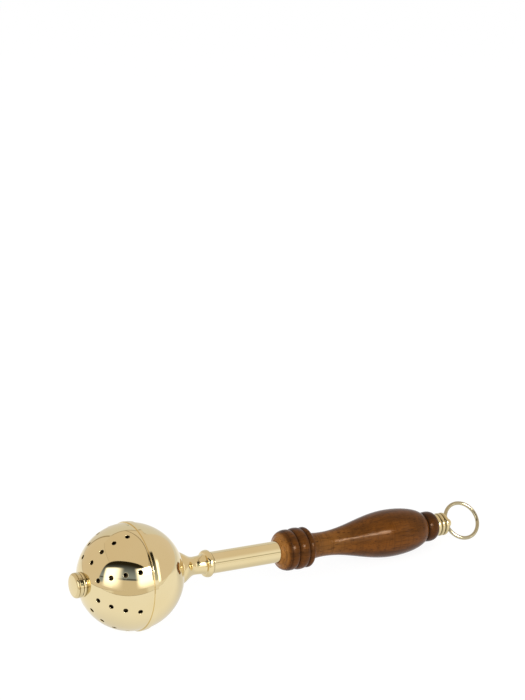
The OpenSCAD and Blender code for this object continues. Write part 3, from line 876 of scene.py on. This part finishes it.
def smooth(points):
    """Cubic arcs through the points. The slope at a point is that of the parabola through it and its
    two neighbours; at a crease, and at the ends, each side keeps the slope of its own chord."""
    chord = np.diff(points, axis=0)
    length = np.linalg.norm(chord, axis=1, keepdims=True)
    slope = chord / length
    middle = (slope[:-1] * length[1:] + slope[1:] * length[:-1]) / (length[:-1] + length[1:])
    bend = np.arccos(np.clip(np.sum(slope[:-1] * slope[1:], axis=1), -1, 1))
    round_point = (bend < CREASE)[:, None]
    leaving = np.concatenate([slope[:1], np.where(round_point, middle, slope[1:])])
    arriving = np.concatenate([np.where(round_point, middle, slope[:-1]), slope[-1:]])
    u = np.linspace(0, 1, CURVE_STEPS, endpoint=False)[None, :, None]
    start, end = points[:-1, None], points[1:, None]
    pull_out, pull_in = (leaving * length)[:, None], (arriving * length)[:, None]
    curve = (start * (1 + 2 * u) * (1 - u) ** 2 + end * u * u * (3 - 2 * u)
             + pull_out * u * (1 - u) ** 2 + pull_in * u * u * (u - 1))
    return np.concatenate([curve.reshape(-1, 2), points[-1:]])


def soften(points, radius):
    """Cuts each corner of a closed outline at `radius` from it, or at a third of the shorter side, and
    bridges the cut with a parabola whose control point is the corner."""
    before, after = np.roll(points, 1, axis=0) - points, np.roll(points, -1, axis=0) - points
    short = np.minimum(np.linalg.norm(before, axis=1), np.linalg.norm(after, axis=1)) / 3
    cut = np.minimum(radius, short)[:, None]
    start = points + unit(before) * cut
    end = points + unit(after) * cut
    u = np.linspace(0, 1, CORNER_STEPS)[None, :, None]
    curve = start[:, None] * (1 - u) ** 2 + points[:, None] * 2 * u * (1 - u) + end[:, None] * u * u
    return curve.reshape(-1, 2)


def arc(radius, start, end, steps):
    """Part of a circle about the ball's middle, by angles from the tip: (-radius cos, radius sin)."""
    angle = np.linspace(start, end, steps)
    return np.stack([-radius * np.cos(angle), radius * np.sin(angle)], axis=1)


five_points = arc(BALL_R, 0, np.pi / 2, 5)
off_circle = np.abs(np.hypot(*smooth(five_points).T) - BALL_R).max()
print("a smooth curve through five points of the ball is %.3f mm off it" % (off_circle * 1000))

# %% Carrying an outline round the axis
PARTS = 160


def equal_turns(places):
    """Equal steps of a full turn."""
    return np.linspace(0, 2 * np.pi, places, endpoint=False)


def carried(outline, turns):
    """Carries an outline round the tool axis: place(along, away, turn) for every turn."""
    turn = np.broadcast_to(turns, (len(outline), len(turns)))
    return place(outline[:, :1] + 0 * turn, outline[:, 1:] + 0 * turn, turn)


def turned(name, outline, closed=True, marks=None):
    """A piece of turned work. An outline that isn't closed starts and ends on the axis."""
    points = carried(outline, equal_turns(PARTS)).reshape(-1, 3)
    marks = {mark: np.repeat(values, PARTS) for mark, values in (marks or {}).items()}
    return make_piece(name, points, grid(len(outline), PARTS, closed), marks=marks)


def gathered(outline, places, width):
    """How much has gathered in grooves, from 0 to 1: a bell curve about each place along the axis."""
    return np.exp(-((outline[:, :1] - np.asarray(places)) / width) ** 2).max(axis=1)


print("outlines: %d places round each turned piece" % PARTS)

# %% [markdown]
# ## The perforated front half
#
# The front half is a thin pressed shell with eight rows of four sprinkle holes. A mirror shows every
# flaw of a mesh, so no holes are cut out of it. Instead each hole has its own patch of the ball: the
# patch is a field of four sides in angles from the tip and round the axis, and lines run from the
# edge of the field to the edge of the hole, round its softened lip, through the wall and back along
# the inside. Normals are exact: away from the ball's middle on the outside, towards it on the inside.

# %% Hole and field
SHELL_WALL = 0.001
INSIDE_R = BALL_R - SHELL_WALL
HOLE_R = 0.0011
HOLE_ROWS = 8
HOLES_IN_ROW = 4
FIRST_HOLE = np.radians(29.4)
HOLE_STEP = np.radians(15.6)
ROW_TURN = np.radians(14.4)
LIP_ROUND = 0.00016
LIP_STEPS = 5
SIDE_STEPS = 10


def ball_direction(angle, turn):
    """The direction at an angle from the tip and a turn about the axis."""
    return np.sin(angle)[..., None] * spoke(turn) - np.cos(angle)[..., None] * AXIS


def field_edge():
    """The edge of a field, from corner to corner: angle offsets and turn offsets from its hole."""
    go = np.linspace(-1, 1, SIDE_STEPS, endpoint=False)
    one = np.ones(SIDE_STEPS)
    angle = np.concatenate([-one, go, one, -go]) * HOLE_STEP / 2
    turn = np.concatenate([go, one, -go, -one]) * np.pi / HOLE_ROWS
    return angle, turn


def lip_section():
    """The section of a hole's wall, outside to inside: distance from the hole's axis, height along it
    from the ball's middle, and the normal's parts along the axis and away from it."""
    q = np.linspace(0, np.pi / 2, LIP_STEPS)
    reach = HOLE_R + LIP_ROUND * (1 - np.sin(q))
    top = np.sqrt(BALL_R**2 - (HOLE_R + LIP_ROUND) ** 2) - LIP_ROUND * (1 - np.cos(q))
    foot = np.sqrt(INSIDE_R**2 - (HOLE_R + LIP_ROUND) ** 2) + LIP_ROUND * (1 - np.cos(q))
    outer = np.stack([reach, top, np.cos(q), -np.sin(q)])
    inner = np.stack([reach, foot, -np.cos(q), -np.sin(q)])[:, ::-1]
    return np.concatenate([outer, inner], axis=1)[..., None, None]


print("holes: %d rows of %d, %.1f mm wide" % (HOLE_ROWS, HOLES_IN_ROW, 2000 * HOLE_R))

# %% All fields
FIELD_STEPS = 9
# Below 1, this draws the lines of a field together near the hole
FIELD_POWER = 0.7


def hole_fields():
    """Points and normals of all fields, one field after the other, each a grid that runs round."""
    row, hole = np.meshgrid(np.arange(HOLE_ROWS), np.arange(HOLES_IN_ROW), indexing="ij")
    angle = (FIRST_HOLE + hole * HOLE_STEP)[..., None]
    turn = (ROW_TURN + row * 2 * np.pi / HOLE_ROWS)[..., None]
    edge_angle, edge_turn = field_edge()
    edge = ball_direction(angle + edge_angle, turn + edge_turn)
    middle = ball_direction(angle, turn)
    outwards = unit(edge - np.sum(edge * middle, axis=-1, keepdims=True) * middle)
    lean = np.arcsin((HOLE_R + LIP_ROUND) / BALL_R)
    rim = np.cos(lean) * middle + np.sin(lean) * outwards
    u = (np.linspace(0, 1, FIELD_STEPS, endpoint=False) ** FIELD_POWER)[:, None, None]
    field = unit((1 - u) * edge[..., None, :, :] + u * rim[..., None, :, :])
    reach, lift, normal_up, normal_out = lip_section()
    middle, outwards = middle[..., None, :, :], outwards[..., None, :, :]
    lip = lift * middle + reach * outwards
    lip_normal = normal_up * middle + normal_out * outwards
    inner = field[..., ::-1, :, :]
    points = CENTRE + np.concatenate([BALL_R * field, lip, INSIDE_R * inner], axis=2)
    return points, np.concatenate([field, lip_normal, -inner], axis=2)


field_points, field_normals = hole_fields()
print("fields: %d by %d, each with %d rows of %d points" % field_points.shape[:4])

# %% Front half
ARC_STEPS = 9


def shell_band(outline, normal):
    """A band of the shell without holes, with the same places round the axis as the fields' edges."""
    places = SIDE_STEPS * HOLE_ROWS
    turns = ROW_TURN - np.pi / HOLE_ROWS + np.arange(places) * 2 * np.pi / places
    return carried(outline, turns), carried(normal, turns) - CENTRE


def front_half():
    """All fields, the band round the tip with the bore, and the band at the seam, as one mesh."""
    rows, places = field_points.shape[2:4]
    fields = HOLE_ROWS * HOLES_IN_ROW
    faces = [grid(rows, places, False) + k * rows * places for k in range(fields)]
    points, normals = [field_points.reshape(-1, 3)], [field_normals.reshape(-1, 3)]
    shell_along, shell_away = corners("front_shell")
    bore, seam = shell_away.min(), -shell_along.max()
    tip_side = FIRST_HOLE - HOLE_STEP / 2
    seam_side = FIRST_HOLE + (HOLES_IN_ROW - 0.5) * HOLE_STEP
    ends = [(tip_side, np.arcsin(bore / BALL_R), np.arcsin(bore / INSIDE_R), -1),
            (seam_side, np.arccos(seam / BALL_R), np.arccos(seam / INSIDE_R), 1)]
    for start, outer_end, inner_end, order in ends:
        outer, inner = arc(1, start, outer_end, ARC_STEPS), arc(1, inner_end, start, ARC_STEPS)
        band, band_normal = shell_band(np.concatenate([BALL_R * outer, INSIDE_R * inner])[::order],
                                       np.concatenate([outer, -inner])[::order])
        faces.append(grid(*band.shape[:2], False) + sum(len(part) for part in points))
        points.append(band.reshape(-1, 3))
        normals.append(band_normal.reshape(-1, 3))
    points, faces, normals = (np.concatenate(lists) for lists in (points, faces, normals))
    return make_piece("front_half", points, faces, normals)


dress(front_half(), "front_shell", "front_half", polished_brass)

# %% [markdown]
# ## The rear half and its rim band
#
# The rear half is the same thin shell without holes, so it is simply an arc out and an arc back,
# carried round. The rim band is soldered on just behind the seam. Its face is straight at the front
# and falls a little towards the back, so it mirrors the room in two narrow upright strips, a dark one
# and a bright one, beside the ball's round picture of it.

# %% Rear half
OUTSIDE_STEPS = 90
INSIDE_STEPS = 60
rod_bore = corners("rear_shell")[1].min()
rear_outline = np.concatenate([
    arc(BALL_R, np.pi / 2, np.pi - np.arcsin(rod_bore / BALL_R), OUTSIDE_STEPS),
    arc(INSIDE_R, np.pi - np.arcsin(rod_bore / INSIDE_R), np.pi / 2, INSIDE_STEPS)])
dress(turned("rear_half", rear_outline), "rear_shell", "grip", polished_brass)

# %% Rim band
EDGE_ROUND = 0.00018
BAND_FLAT = 0.56
BAND_LEAN = np.radians(7.6)
BAND_STEPS = 40
ROUND_STEPS = 12
# Keeps a true circle inside the box of a solid with many corners
TIGHT = 0.000006

band_along, band_away = corners("rim_band")
BAND_W, BAND_R = band_along.max(), band_away.max() - TIGHT
band_end = BAND_W - EDGE_ROUND
face_along = np.linspace(EDGE_ROUND, band_end, BAND_STEPS)
late = np.clip((face_along / band_end - BAND_FLAT) / (1 - BAND_FLAT), 0, 1)
# The slope grows as 1 - (1 - late)^6, and this is its sum
fall = np.tan(BAND_LEAN) * band_end * (1 - BAND_FLAT) * (late - (1 - (1 - late) ** 7) / 7)
front_round = np.linspace(np.pi / 2, 0, ROUND_STEPS, endpoint=False)
back_round = np.linspace(np.pi / 2, BAND_LEAN, ROUND_STEPS, endpoint=False)[::-1]
back_turn = EDGE_ROUND * np.array([np.sin(BAND_LEAN), np.cos(BAND_LEAN)])
back_middle = np.array([band_end, BAND_R - fall[-1]]) - back_turn
front_edge = EDGE_ROUND * np.stack([1 - np.sin(front_round), np.cos(front_round) - 1], axis=1)
back_edge = EDGE_ROUND * np.stack([np.sin(back_round), np.cos(back_round)], axis=1)
band_outline = np.concatenate([
    [0, BAND_R] + front_edge, np.stack([face_along, BAND_R - fall], axis=1), back_middle + back_edge,
    [[BAND_W, np.sqrt(BALL_R**2 - BAND_W**2)], [0, BALL_R]]])
dress(turned("rim_band_piece", band_outline), "rim_band", "grip", polished_brass)

# %% [markdown]
# ## Tip knob and collar
#
# The tip knob is a nut turned from brass bar: a slightly crowned face, a rounded shoulder, a fine
# groove and a plain ring for the fingers, and behind them a threaded sleeve that reaches into the
# ball. The collar is soldered to the ball and carries the knob. Both outlines come from the frame. The
# polishing cloth misses the knob's groove and the foot of the collar, so these are tarnished.

# %% Tip knob
TARNISH_WIDTH = 0.00026
KNOB_TARNISH = 0.55
KNOB_DULL = 0.12
KNOB_SIDE_START = 0.0002

knob_along, _ = corners("tip_knob")
knob_face, sleeve_end = knob_along.min(), knob_along.max()
thread_r, sleeve_r = reach_at("tip_knob", sleeve_end)
thread_end = span_at("tip_knob", thread_r)[0]
knob_rings = skin("tip_knob", thread_r)[:-1]
knob_back = knob_rings[-1, 0]
knob_outline = np.concatenate([
    smooth(np.concatenate([[[knob_face, 0.0]], knob_rings])),
    [[knob_back, sleeve_r], [sleeve_end, sleeve_r], [sleeve_end, thread_r],
     [thread_end, thread_r], [thread_end, 0.0]]])
knob_grooves = hollows(knob_rings)
knob_side = KNOB_DULL * (knob_outline[:, 0] > knob_rings[0, 0] + KNOB_SIDE_START)
knob_tarnish = KNOB_TARNISH * gathered(knob_outline, knob_grooves, TARNISH_WIDTH)
knob_marks = {"tarnish": np.maximum(knob_side, knob_tarnish)}
knob_piece = turned("knob_piece", knob_outline, closed=False, marks=knob_marks)
dress(knob_piece, "tip_knob", "knob", turned_brass)
print("grooves of the knob, mm from the ball's middle:", np.round(knob_grooves * 1000, 2))

# %% Collar
FOOT_TARNISH_WIDTH = 0.00045
collar_along, collar_away = corners("pole_collar")
collar_top, collar_bore, collar_r = collar_along.min(), collar_away.min(), collar_away.max()
collar_face_r = reach_at("pole_collar", collar_top)[1]
collar_foot = -np.sqrt(BALL_R**2 - collar_r**2)
# Two rings of points on the straight side let the tarnish end close to the foot
collar_outline = np.concatenate([
    [[collar_top, collar_bore], [collar_top, collar_face_r],
     [collar_top + collar_r - collar_face_r, collar_r],
     [collar_foot - 2 * FOOT_TARNISH_WIDTH, collar_r], [collar_foot - FOOT_TARNISH_WIDTH, collar_r]],
    arc(BALL_R, np.arcsin(collar_r / BALL_R), np.arcsin(collar_bore / BALL_R), ARC_STEPS)])
collar_marks = {"tarnish": gathered(collar_outline, [collar_foot], FOOT_TARNISH_WIDTH)}
collar_piece = turned("collar_piece", collar_outline, marks=collar_marks)
dress(collar_piece, "pole_collar", "front_half", turned_brass)

# %% [markdown]
# ## Neck and tube
#
# The neck is one turning: a flared foot soldered to the ball, a waist, a bead and a thin rim against
# which the tube is pushed. A spigot goes on inside the tube. The outline is smooth but for the foot of
# the bead and the rim, and these creases catch the light as fine lines. The tube is a plain cylinder
# with softened ends.

# %% Neck
NECK_TARNISH = 0.6
# Rings nearer to the ball than this belong to the foot's joint with it
OFF_BALL = 1.0005

neck_along, _ = corners("neck")
spigot_end = neck_along.max()
rod_gap, spigot_r = reach_at("neck", spigot_end)
neck_rings = skin("neck", spigot_r)
neck_foot = neck_rings[:1]
neck_rings = neck_rings[np.hypot(*neck_rings.T) > BALL_R * OFF_BALL]
joint_start = np.pi - np.arcsin(rod_gap / BALL_R)
joint_end = np.pi - np.arcsin(neck_foot[0, 1] / BALL_R)
neck_outline = np.concatenate([
    smooth(np.concatenate([neck_foot, neck_rings])),
    [[neck_rings[-1, 0], spigot_r], [spigot_end, spigot_r], [spigot_end, rod_gap]],
    arc(BALL_R, joint_start, joint_end, ARC_STEPS)])
neck_grooves = np.concatenate([neck_foot[:, 0], hollows(neck_rings), neck_rings[-1:, 0]])
neck_marks = {"tarnish": NECK_TARNISH * gathered(neck_outline, neck_grooves, TARNISH_WIDTH)}
neck_piece = turned("neck_piece", neck_outline, marks=neck_marks)
dress(neck_piece, "neck", "grip", turned_brass)
print("grooves of the neck, mm from the ball's middle:", np.round(neck_grooves * 1000, 2))

# %% Tube
# Rows close to the ends keep their rounding from bending the mirror of the straight part
NEAR_END = np.array([0, 0.0006, 0.0012, 0.003])

tube_along, tube_away = corners("tube")
tube_rows = np.concatenate([tube_along.min() + NEAR_END, tube_along.max() - NEAR_END[::-1]])
tube_outside = np.stack([tube_rows, np.full(len(tube_rows), tube_away.max())], axis=1)
tube_inside = np.array([[tube_rows[-1], tube_away.min()], [tube_rows[0], tube_away.min()]])
tube_outline = soften(np.concatenate([tube_outside, tube_inside]), EDGE_ROUND)
dress(turned("tube_piece", tube_outline), "tube", "grip", polished_brass)

# %% [markdown]
# ## The handle
#
# The handle is turned in one piece on a lathe: a cone, three beads with a scored line on the first,
# a slim waist, a long belly for the palm and an end bead. The bores are in it too, because the outline
# is closed: the socket of the tube, the long hole for the rod and the socket of the end cap. The stain
# has gathered in the grooves, which also get painted shade, and the beads took more of it, and the
# front and the waist are worn, so the outline carries a mark of each.

# %% Outline of the handle
handle_along, handle_away = corners("handle")
front_face, back_face, rod_hole = handle_along.min(), handle_along.max(), handle_away.min()
tube_socket, cap_socket = reach_at("handle", front_face)[0], reach_at("handle", back_face)[0]
tube_socket_end, cap_socket_end = span_at("handle", tube_socket)[1], span_at("handle", cap_socket)[0]
handle_rings = skin("handle", tube_socket)
handle_grooves = hollows(handle_rings)
handle_outline = np.concatenate([smooth(handle_rings), [
    [back_face, cap_socket], [cap_socket_end, cap_socket], [cap_socket_end, rod_hole],
    [tube_socket_end, rod_hole], [tube_socket_end, tube_socket], [front_face, tube_socket]]])
print("grooves of the handle, mm from the ball:", np.round(handle_grooves * 1000, 1))

# %% Stain, painted shade and wear
GROOVE_WIDTH = 0.0009
# Stain in the grooves, with painted shade there as well
GROOVE_STAIN_AND_SHADE = 0.42
END_STAIN = 0.48
BEAD_STAIN = 0.14
BEADS_BEFORE_GROOVE = 0.0012
BEADS_PAST_GROOVE = 0.004
# The waist is looked for in front of the belly, which takes up this much before the last groove
BELLY_LENGTH = 0.03
WAIST_WEAR = 0.40
WAIST_REACH = 0.011
FRONT_WEAR = 0.95
FRONT_WEAR_END = 0.0007
FRONT_WEAR_FADE = 0.00025

beads_start = handle_grooves[0] - BEADS_BEFORE_GROOVE
beads_end = handle_grooves[-2] + BEADS_PAST_GROOVE
ring_places = handle_rings[:, 0]
slim_part = handle_rings[(ring_places > beads_end) & (ring_places < handle_grooves[-1] - BELLY_LENGTH)]
waist = slim_part[slim_part[:, 1].argmin(), 0]


def stain_shade_and_wear(outline):
    """Two marks from 0 to 1. Stain and shade: stain and painted shade in a bell curve at each groove,
    a share of stain all over the end bead and another on the three beads. Wear: a bell curve at the
    waist, and a soft step at the front."""
    along, away = outline.T
    # Each groove gets stain and painted shade in one bell curve
    in_grooves = GROOVE_STAIN_AND_SHADE * gathered(outline, handle_grooves, GROOVE_WIDTH)
    on_end = END_STAIN * (along > handle_grooves[-1])
    on_beads = (along > beads_start) & (along < beads_end)
    stain_and_shade = (in_grooves + on_end) * (away > tube_socket * WIDER) + BEAD_STAIN * on_beads
    at_front = 1 / (1 + np.exp((along - beads_start + FRONT_WEAR_END) / FRONT_WEAR_FADE))
    wear = np.maximum(WAIST_WEAR * gathered(outline, [waist], WAIST_REACH), FRONT_WEAR * at_front)
    return {"stain_and_shade": stain_and_shade, "worn": wear * ~on_beads}


handle_piece = turned("handle_piece", handle_outline, marks=stain_shade_and_wear(handle_outline))
dress(handle_piece, "handle", "grip", handle_wood)
print("waist of the handle: %.1f mm from the ball's middle" % (waist * 1000))

# %% [markdown]
# ## End cap and washer
#
# The end cap screws on the rod and holds the handle. It shows two turned rings behind a washer with a
# rounded edge, and a small drilled ball, the eye, in which the ring swings. The eye is turned about
# its own hole, whose axis is the ring's hinge, so it is a second grid in the same mesh.

# %% Washer
WASHER_TARNISH = 0.9
washer_bore = corners("cap_washer")[1].min()
washer_rings = skin("cap_washer", washer_bore)
washer_ends = washer_rings[[0, -1], 0]
washer_outline = np.concatenate([
    smooth(washer_rings), [[washer_ends[1], washer_bore], [washer_ends[0], washer_bore]]])
washer_marks = {"tarnish": WASHER_TARNISH * gathered(washer_outline, washer_ends, TARNISH_WIDTH)}
washer_piece = turned("cap_washer_piece", washer_outline, marks=washer_marks)
dress(washer_piece, "cap_washer", "grip", turned_brass)

# %% Rings of the end cap
CAP_TARNISH = 0.82
CAP_TARNISH_WIDTH = 0.00055
CAP_DULL = 0.06
cap_along, _ = corners("end_cap")
cap_front = cap_along.min()
cap_thread, cap_spigot = reach_at("end_cap", cap_front)
cap_thread_end = span_at("end_cap", cap_thread)[1]
cap_rings = skin("end_cap", cap_spigot)
cap_outline = np.concatenate([
    [[cap_thread_end, 0.0], [cap_thread_end, cap_thread], [cap_front, cap_thread],
     [cap_front, cap_spigot], [cap_rings[0, 0], cap_spigot]],
    smooth(cap_rings), [[cap_rings[-1, 0], 0.0]]])
cap_grooves = np.concatenate([cap_rings[[0, -1], 0], hollows(cap_rings)])
cap_tarnish = CAP_DULL + CAP_TARNISH * gathered(cap_outline, cap_grooves, CAP_TARNISH_WIDTH)
cap_points = carried(cap_outline, equal_turns(PARTS)).reshape(-1, 3)
cap_faces = outward(cap_points, grid(len(cap_outline), PARTS, False))
print("grooves of the cap, mm from the ball's middle:", np.round(cap_grooves * 1000, 2))

# %% Eye of the end cap
EYE = np.array(joints["ring_swing"]["pos_m"])
EYE_AXIS = unit(np.array(joints["ring_swing"]["axis"]))
EYE_PLACES = 64
EYE_STEPS = 24


def drilled_ball(centre, axis, radius, hole):
    """A ball with a hole: its arc between the two edges of the hole, carried round the hole's axis."""
    side = unit(np.cross(axis, AXIS))
    edge = np.arcsin(hole / radius)
    angle = np.linspace(edge, np.pi - edge, EYE_STEPS)[:, None, None]
    turn = equal_turns(EYE_PLACES)[None, :, None]
    round_hole = np.cos(turn) * side + np.sin(turn) * np.cross(axis, side)
    return centre + radius * (np.cos(angle) * axis + np.sin(angle) * round_hole)


eye_r = cap_along.max() - (EYE - CENTRE) @ AXIS - TIGHT
eye_hole = along_and_away(node_points("end_cap"), EYE, EYE_AXIS)[1].min()
eye_points = drilled_ball(EYE, EYE_AXIS, eye_r, eye_hole).reshape(-1, 3)
eye_faces = outward(eye_points, grid(EYE_STEPS, EYE_PLACES, True))
cap_marks = {"tarnish": np.concatenate([np.repeat(cap_tarnish, PARTS), np.zeros(len(eye_points))])}
end_cap = make_piece("end_cap_piece", np.concatenate([cap_points, eye_points]),
                     np.concatenate([cap_faces, eye_faces + len(cap_points)]), marks=cap_marks)
dress(end_cap, "end_cap", "grip", turned_brass)
print("eye: ball of %.2f mm, hole of %.2f mm" % (2000 * eye_r, 2000 * eye_hole))

# %% [markdown]
# ## The hanging ring
#
# The ring is drawn brass wire bent into a circle and soldered shut. It is a torus whose middle and
# axis are the record's hanging mount, and its two radii come from the solid. Blender has a torus of
# its own, but it would have to be turned and moved into place, and a formula puts it there at once.

# %% Hanging ring
mounts = {mount["name"]: mount for mount in frame["record"]["mounts"]}
RING_MIDDLE = np.array(mounts["hang_loop"]["pos_m"])
RING_AXIS = unit(np.array(mounts["hang_loop"]["axis"]))
RING_PLACES = 240
WIRE_STEPS = 40


def wire_ring(ring_r, wire_r):
    """A torus: middle + (R + r cos b)(cos a * u + sin a * v) + r sin b * axis."""
    u = unit(np.cross(RING_AXIS, AXIS))
    v = np.cross(RING_AXIS, u)
    a = equal_turns(RING_PLACES)[:, None, None]
    b = equal_turns(WIRE_STEPS)[None, :, None]
    outwards = np.cos(a) * u + np.sin(a) * v
    return RING_MIDDLE + (ring_r + wire_r * np.cos(b)) * outwards + wire_r * np.sin(b) * RING_AXIS


ring_lift, ring_away = along_and_away(node_points("hang_ring"), RING_MIDDLE, RING_AXIS)
wire_r = np.abs(ring_lift).max()
ring_points = wire_ring(ring_away.max() - wire_r, wire_r - TIGHT).reshape(-1, 3)
ring_piece = make_piece("hang_ring_piece", ring_points, grid(RING_PLACES, WIRE_STEPS, True))
dress(ring_piece, "hang_ring", "ring", ring_brass)

# %% [markdown]
# ## The sponge
#
# A natural sponge fills the ball and gives the water off. Through the holes and the open seam one sees
# its pores, so its surface is the ball of the solid with pits pressed into it. The depth of the pits
# is a sum of plane waves in random directions, cut off at the top, so that round pits of about the
# same size stay apart. The pits only go inwards, so the sponge stays clear of the brass.

# %% Pits
PIT_SPACING = 0.0026
PIT_DEPTH = 0.0011
PIT_SPREAD = (0.6, 1.4)
PIT_LEVEL = 0.25
PIT_GAIN = 0.6
PIT_SEED = 7
WAVES = 48


def pits(points):
    """Pit depth from 0 to 1 at each point: cosines of random plane waves, summed and cut off."""
    chance = np.random.default_rng(PIT_SEED)
    waves = unit(chance.normal(size=(WAVES, 3)))
    waves *= 2 * np.pi / PIT_SPACING * chance.uniform(*PIT_SPREAD, (WAVES, 1))
    crests = np.cos(points @ waves.T + chance.uniform(0, 2 * np.pi, WAVES))
    ripple = crests.sum(axis=-1) / np.sqrt(WAVES / 2)
    return np.clip(PIT_LEVEL + PIT_GAIN * ripple, 0, 1)


# %% Sponge
SPONGE_PLACES = 320
SPONGE_ROWS = 200

sponge_along, sponge_away = corners("sponge")
sponge_r, bore_gap = np.hypot(sponge_along, sponge_away).max(), sponge_away.min()
sleeve_gap = reach_at("sponge", sponge_along.min())[1]
nut_gap = reach_at("sponge", sponge_along.max())[1]
sleeve_gap_end, nut_gap_end = span_at("sponge", sleeve_gap)[1], span_at("sponge", nut_gap)[0]
sponge_start, sponge_end = np.arcsin(sleeve_gap / sponge_r), np.pi - np.arcsin(nut_gap / sponge_r)
sponge_outline = np.concatenate([
    arc(sponge_r, sponge_start, sponge_end, SPONGE_ROWS),
    [[nut_gap_end, nut_gap], [nut_gap_end, bore_gap],
     [sleeve_gap_end, bore_gap], [sleeve_gap_end, sleeve_gap]]])
sponge_points = carried(sponge_outline, equal_turns(SPONGE_PLACES))
sponge_skin = slice(1, SPONGE_ROWS - 1)
pit_mark = np.zeros(sponge_points.shape[:2])
pit_mark[sponge_skin] = pits(sponge_points[sponge_skin])
inwards = (CENTRE - sponge_points) / sponge_r
sponge_points += PIT_DEPTH * pit_mark[..., None] * inwards
sponge_faces = grid(len(sponge_outline), SPONGE_PLACES, True)
sponge_marks = {"pit": pit_mark.ravel()}
sponge_piece = make_piece("sponge_piece", sponge_points.reshape(-1, 3), sponge_faces, marks=sponge_marks)
dress(sponge_piece, "sponge", "grip", natural_sponge)
print("pits take up %.0f percent of the sponge's skin" % (100 * (pit_mark[sponge_skin] > 0).mean()))

# %% [markdown]
# ## Hidden metal
#
# The lap ring inside the seam, the washers, the lock nut and the rod keep their solids, which are plain
# turned or sawn pieces anyway, and only get their finishes.

# %% Hidden pieces
kept = {"knob_washer": washer_leather, "lap_ring": turned_brass, "nut_washer": turned_brass,
        "lock_nut": plated_steel, "tie_rod": plated_steel}
for node, finish in kept.items():
    solid = frame["nodes"][node].data
    solid.materials.clear()
    solid.materials.append(finish)
print("kept solids:", ", ".join(kept))

bpy.context.scene.view_settings.view_transform = "Standard"
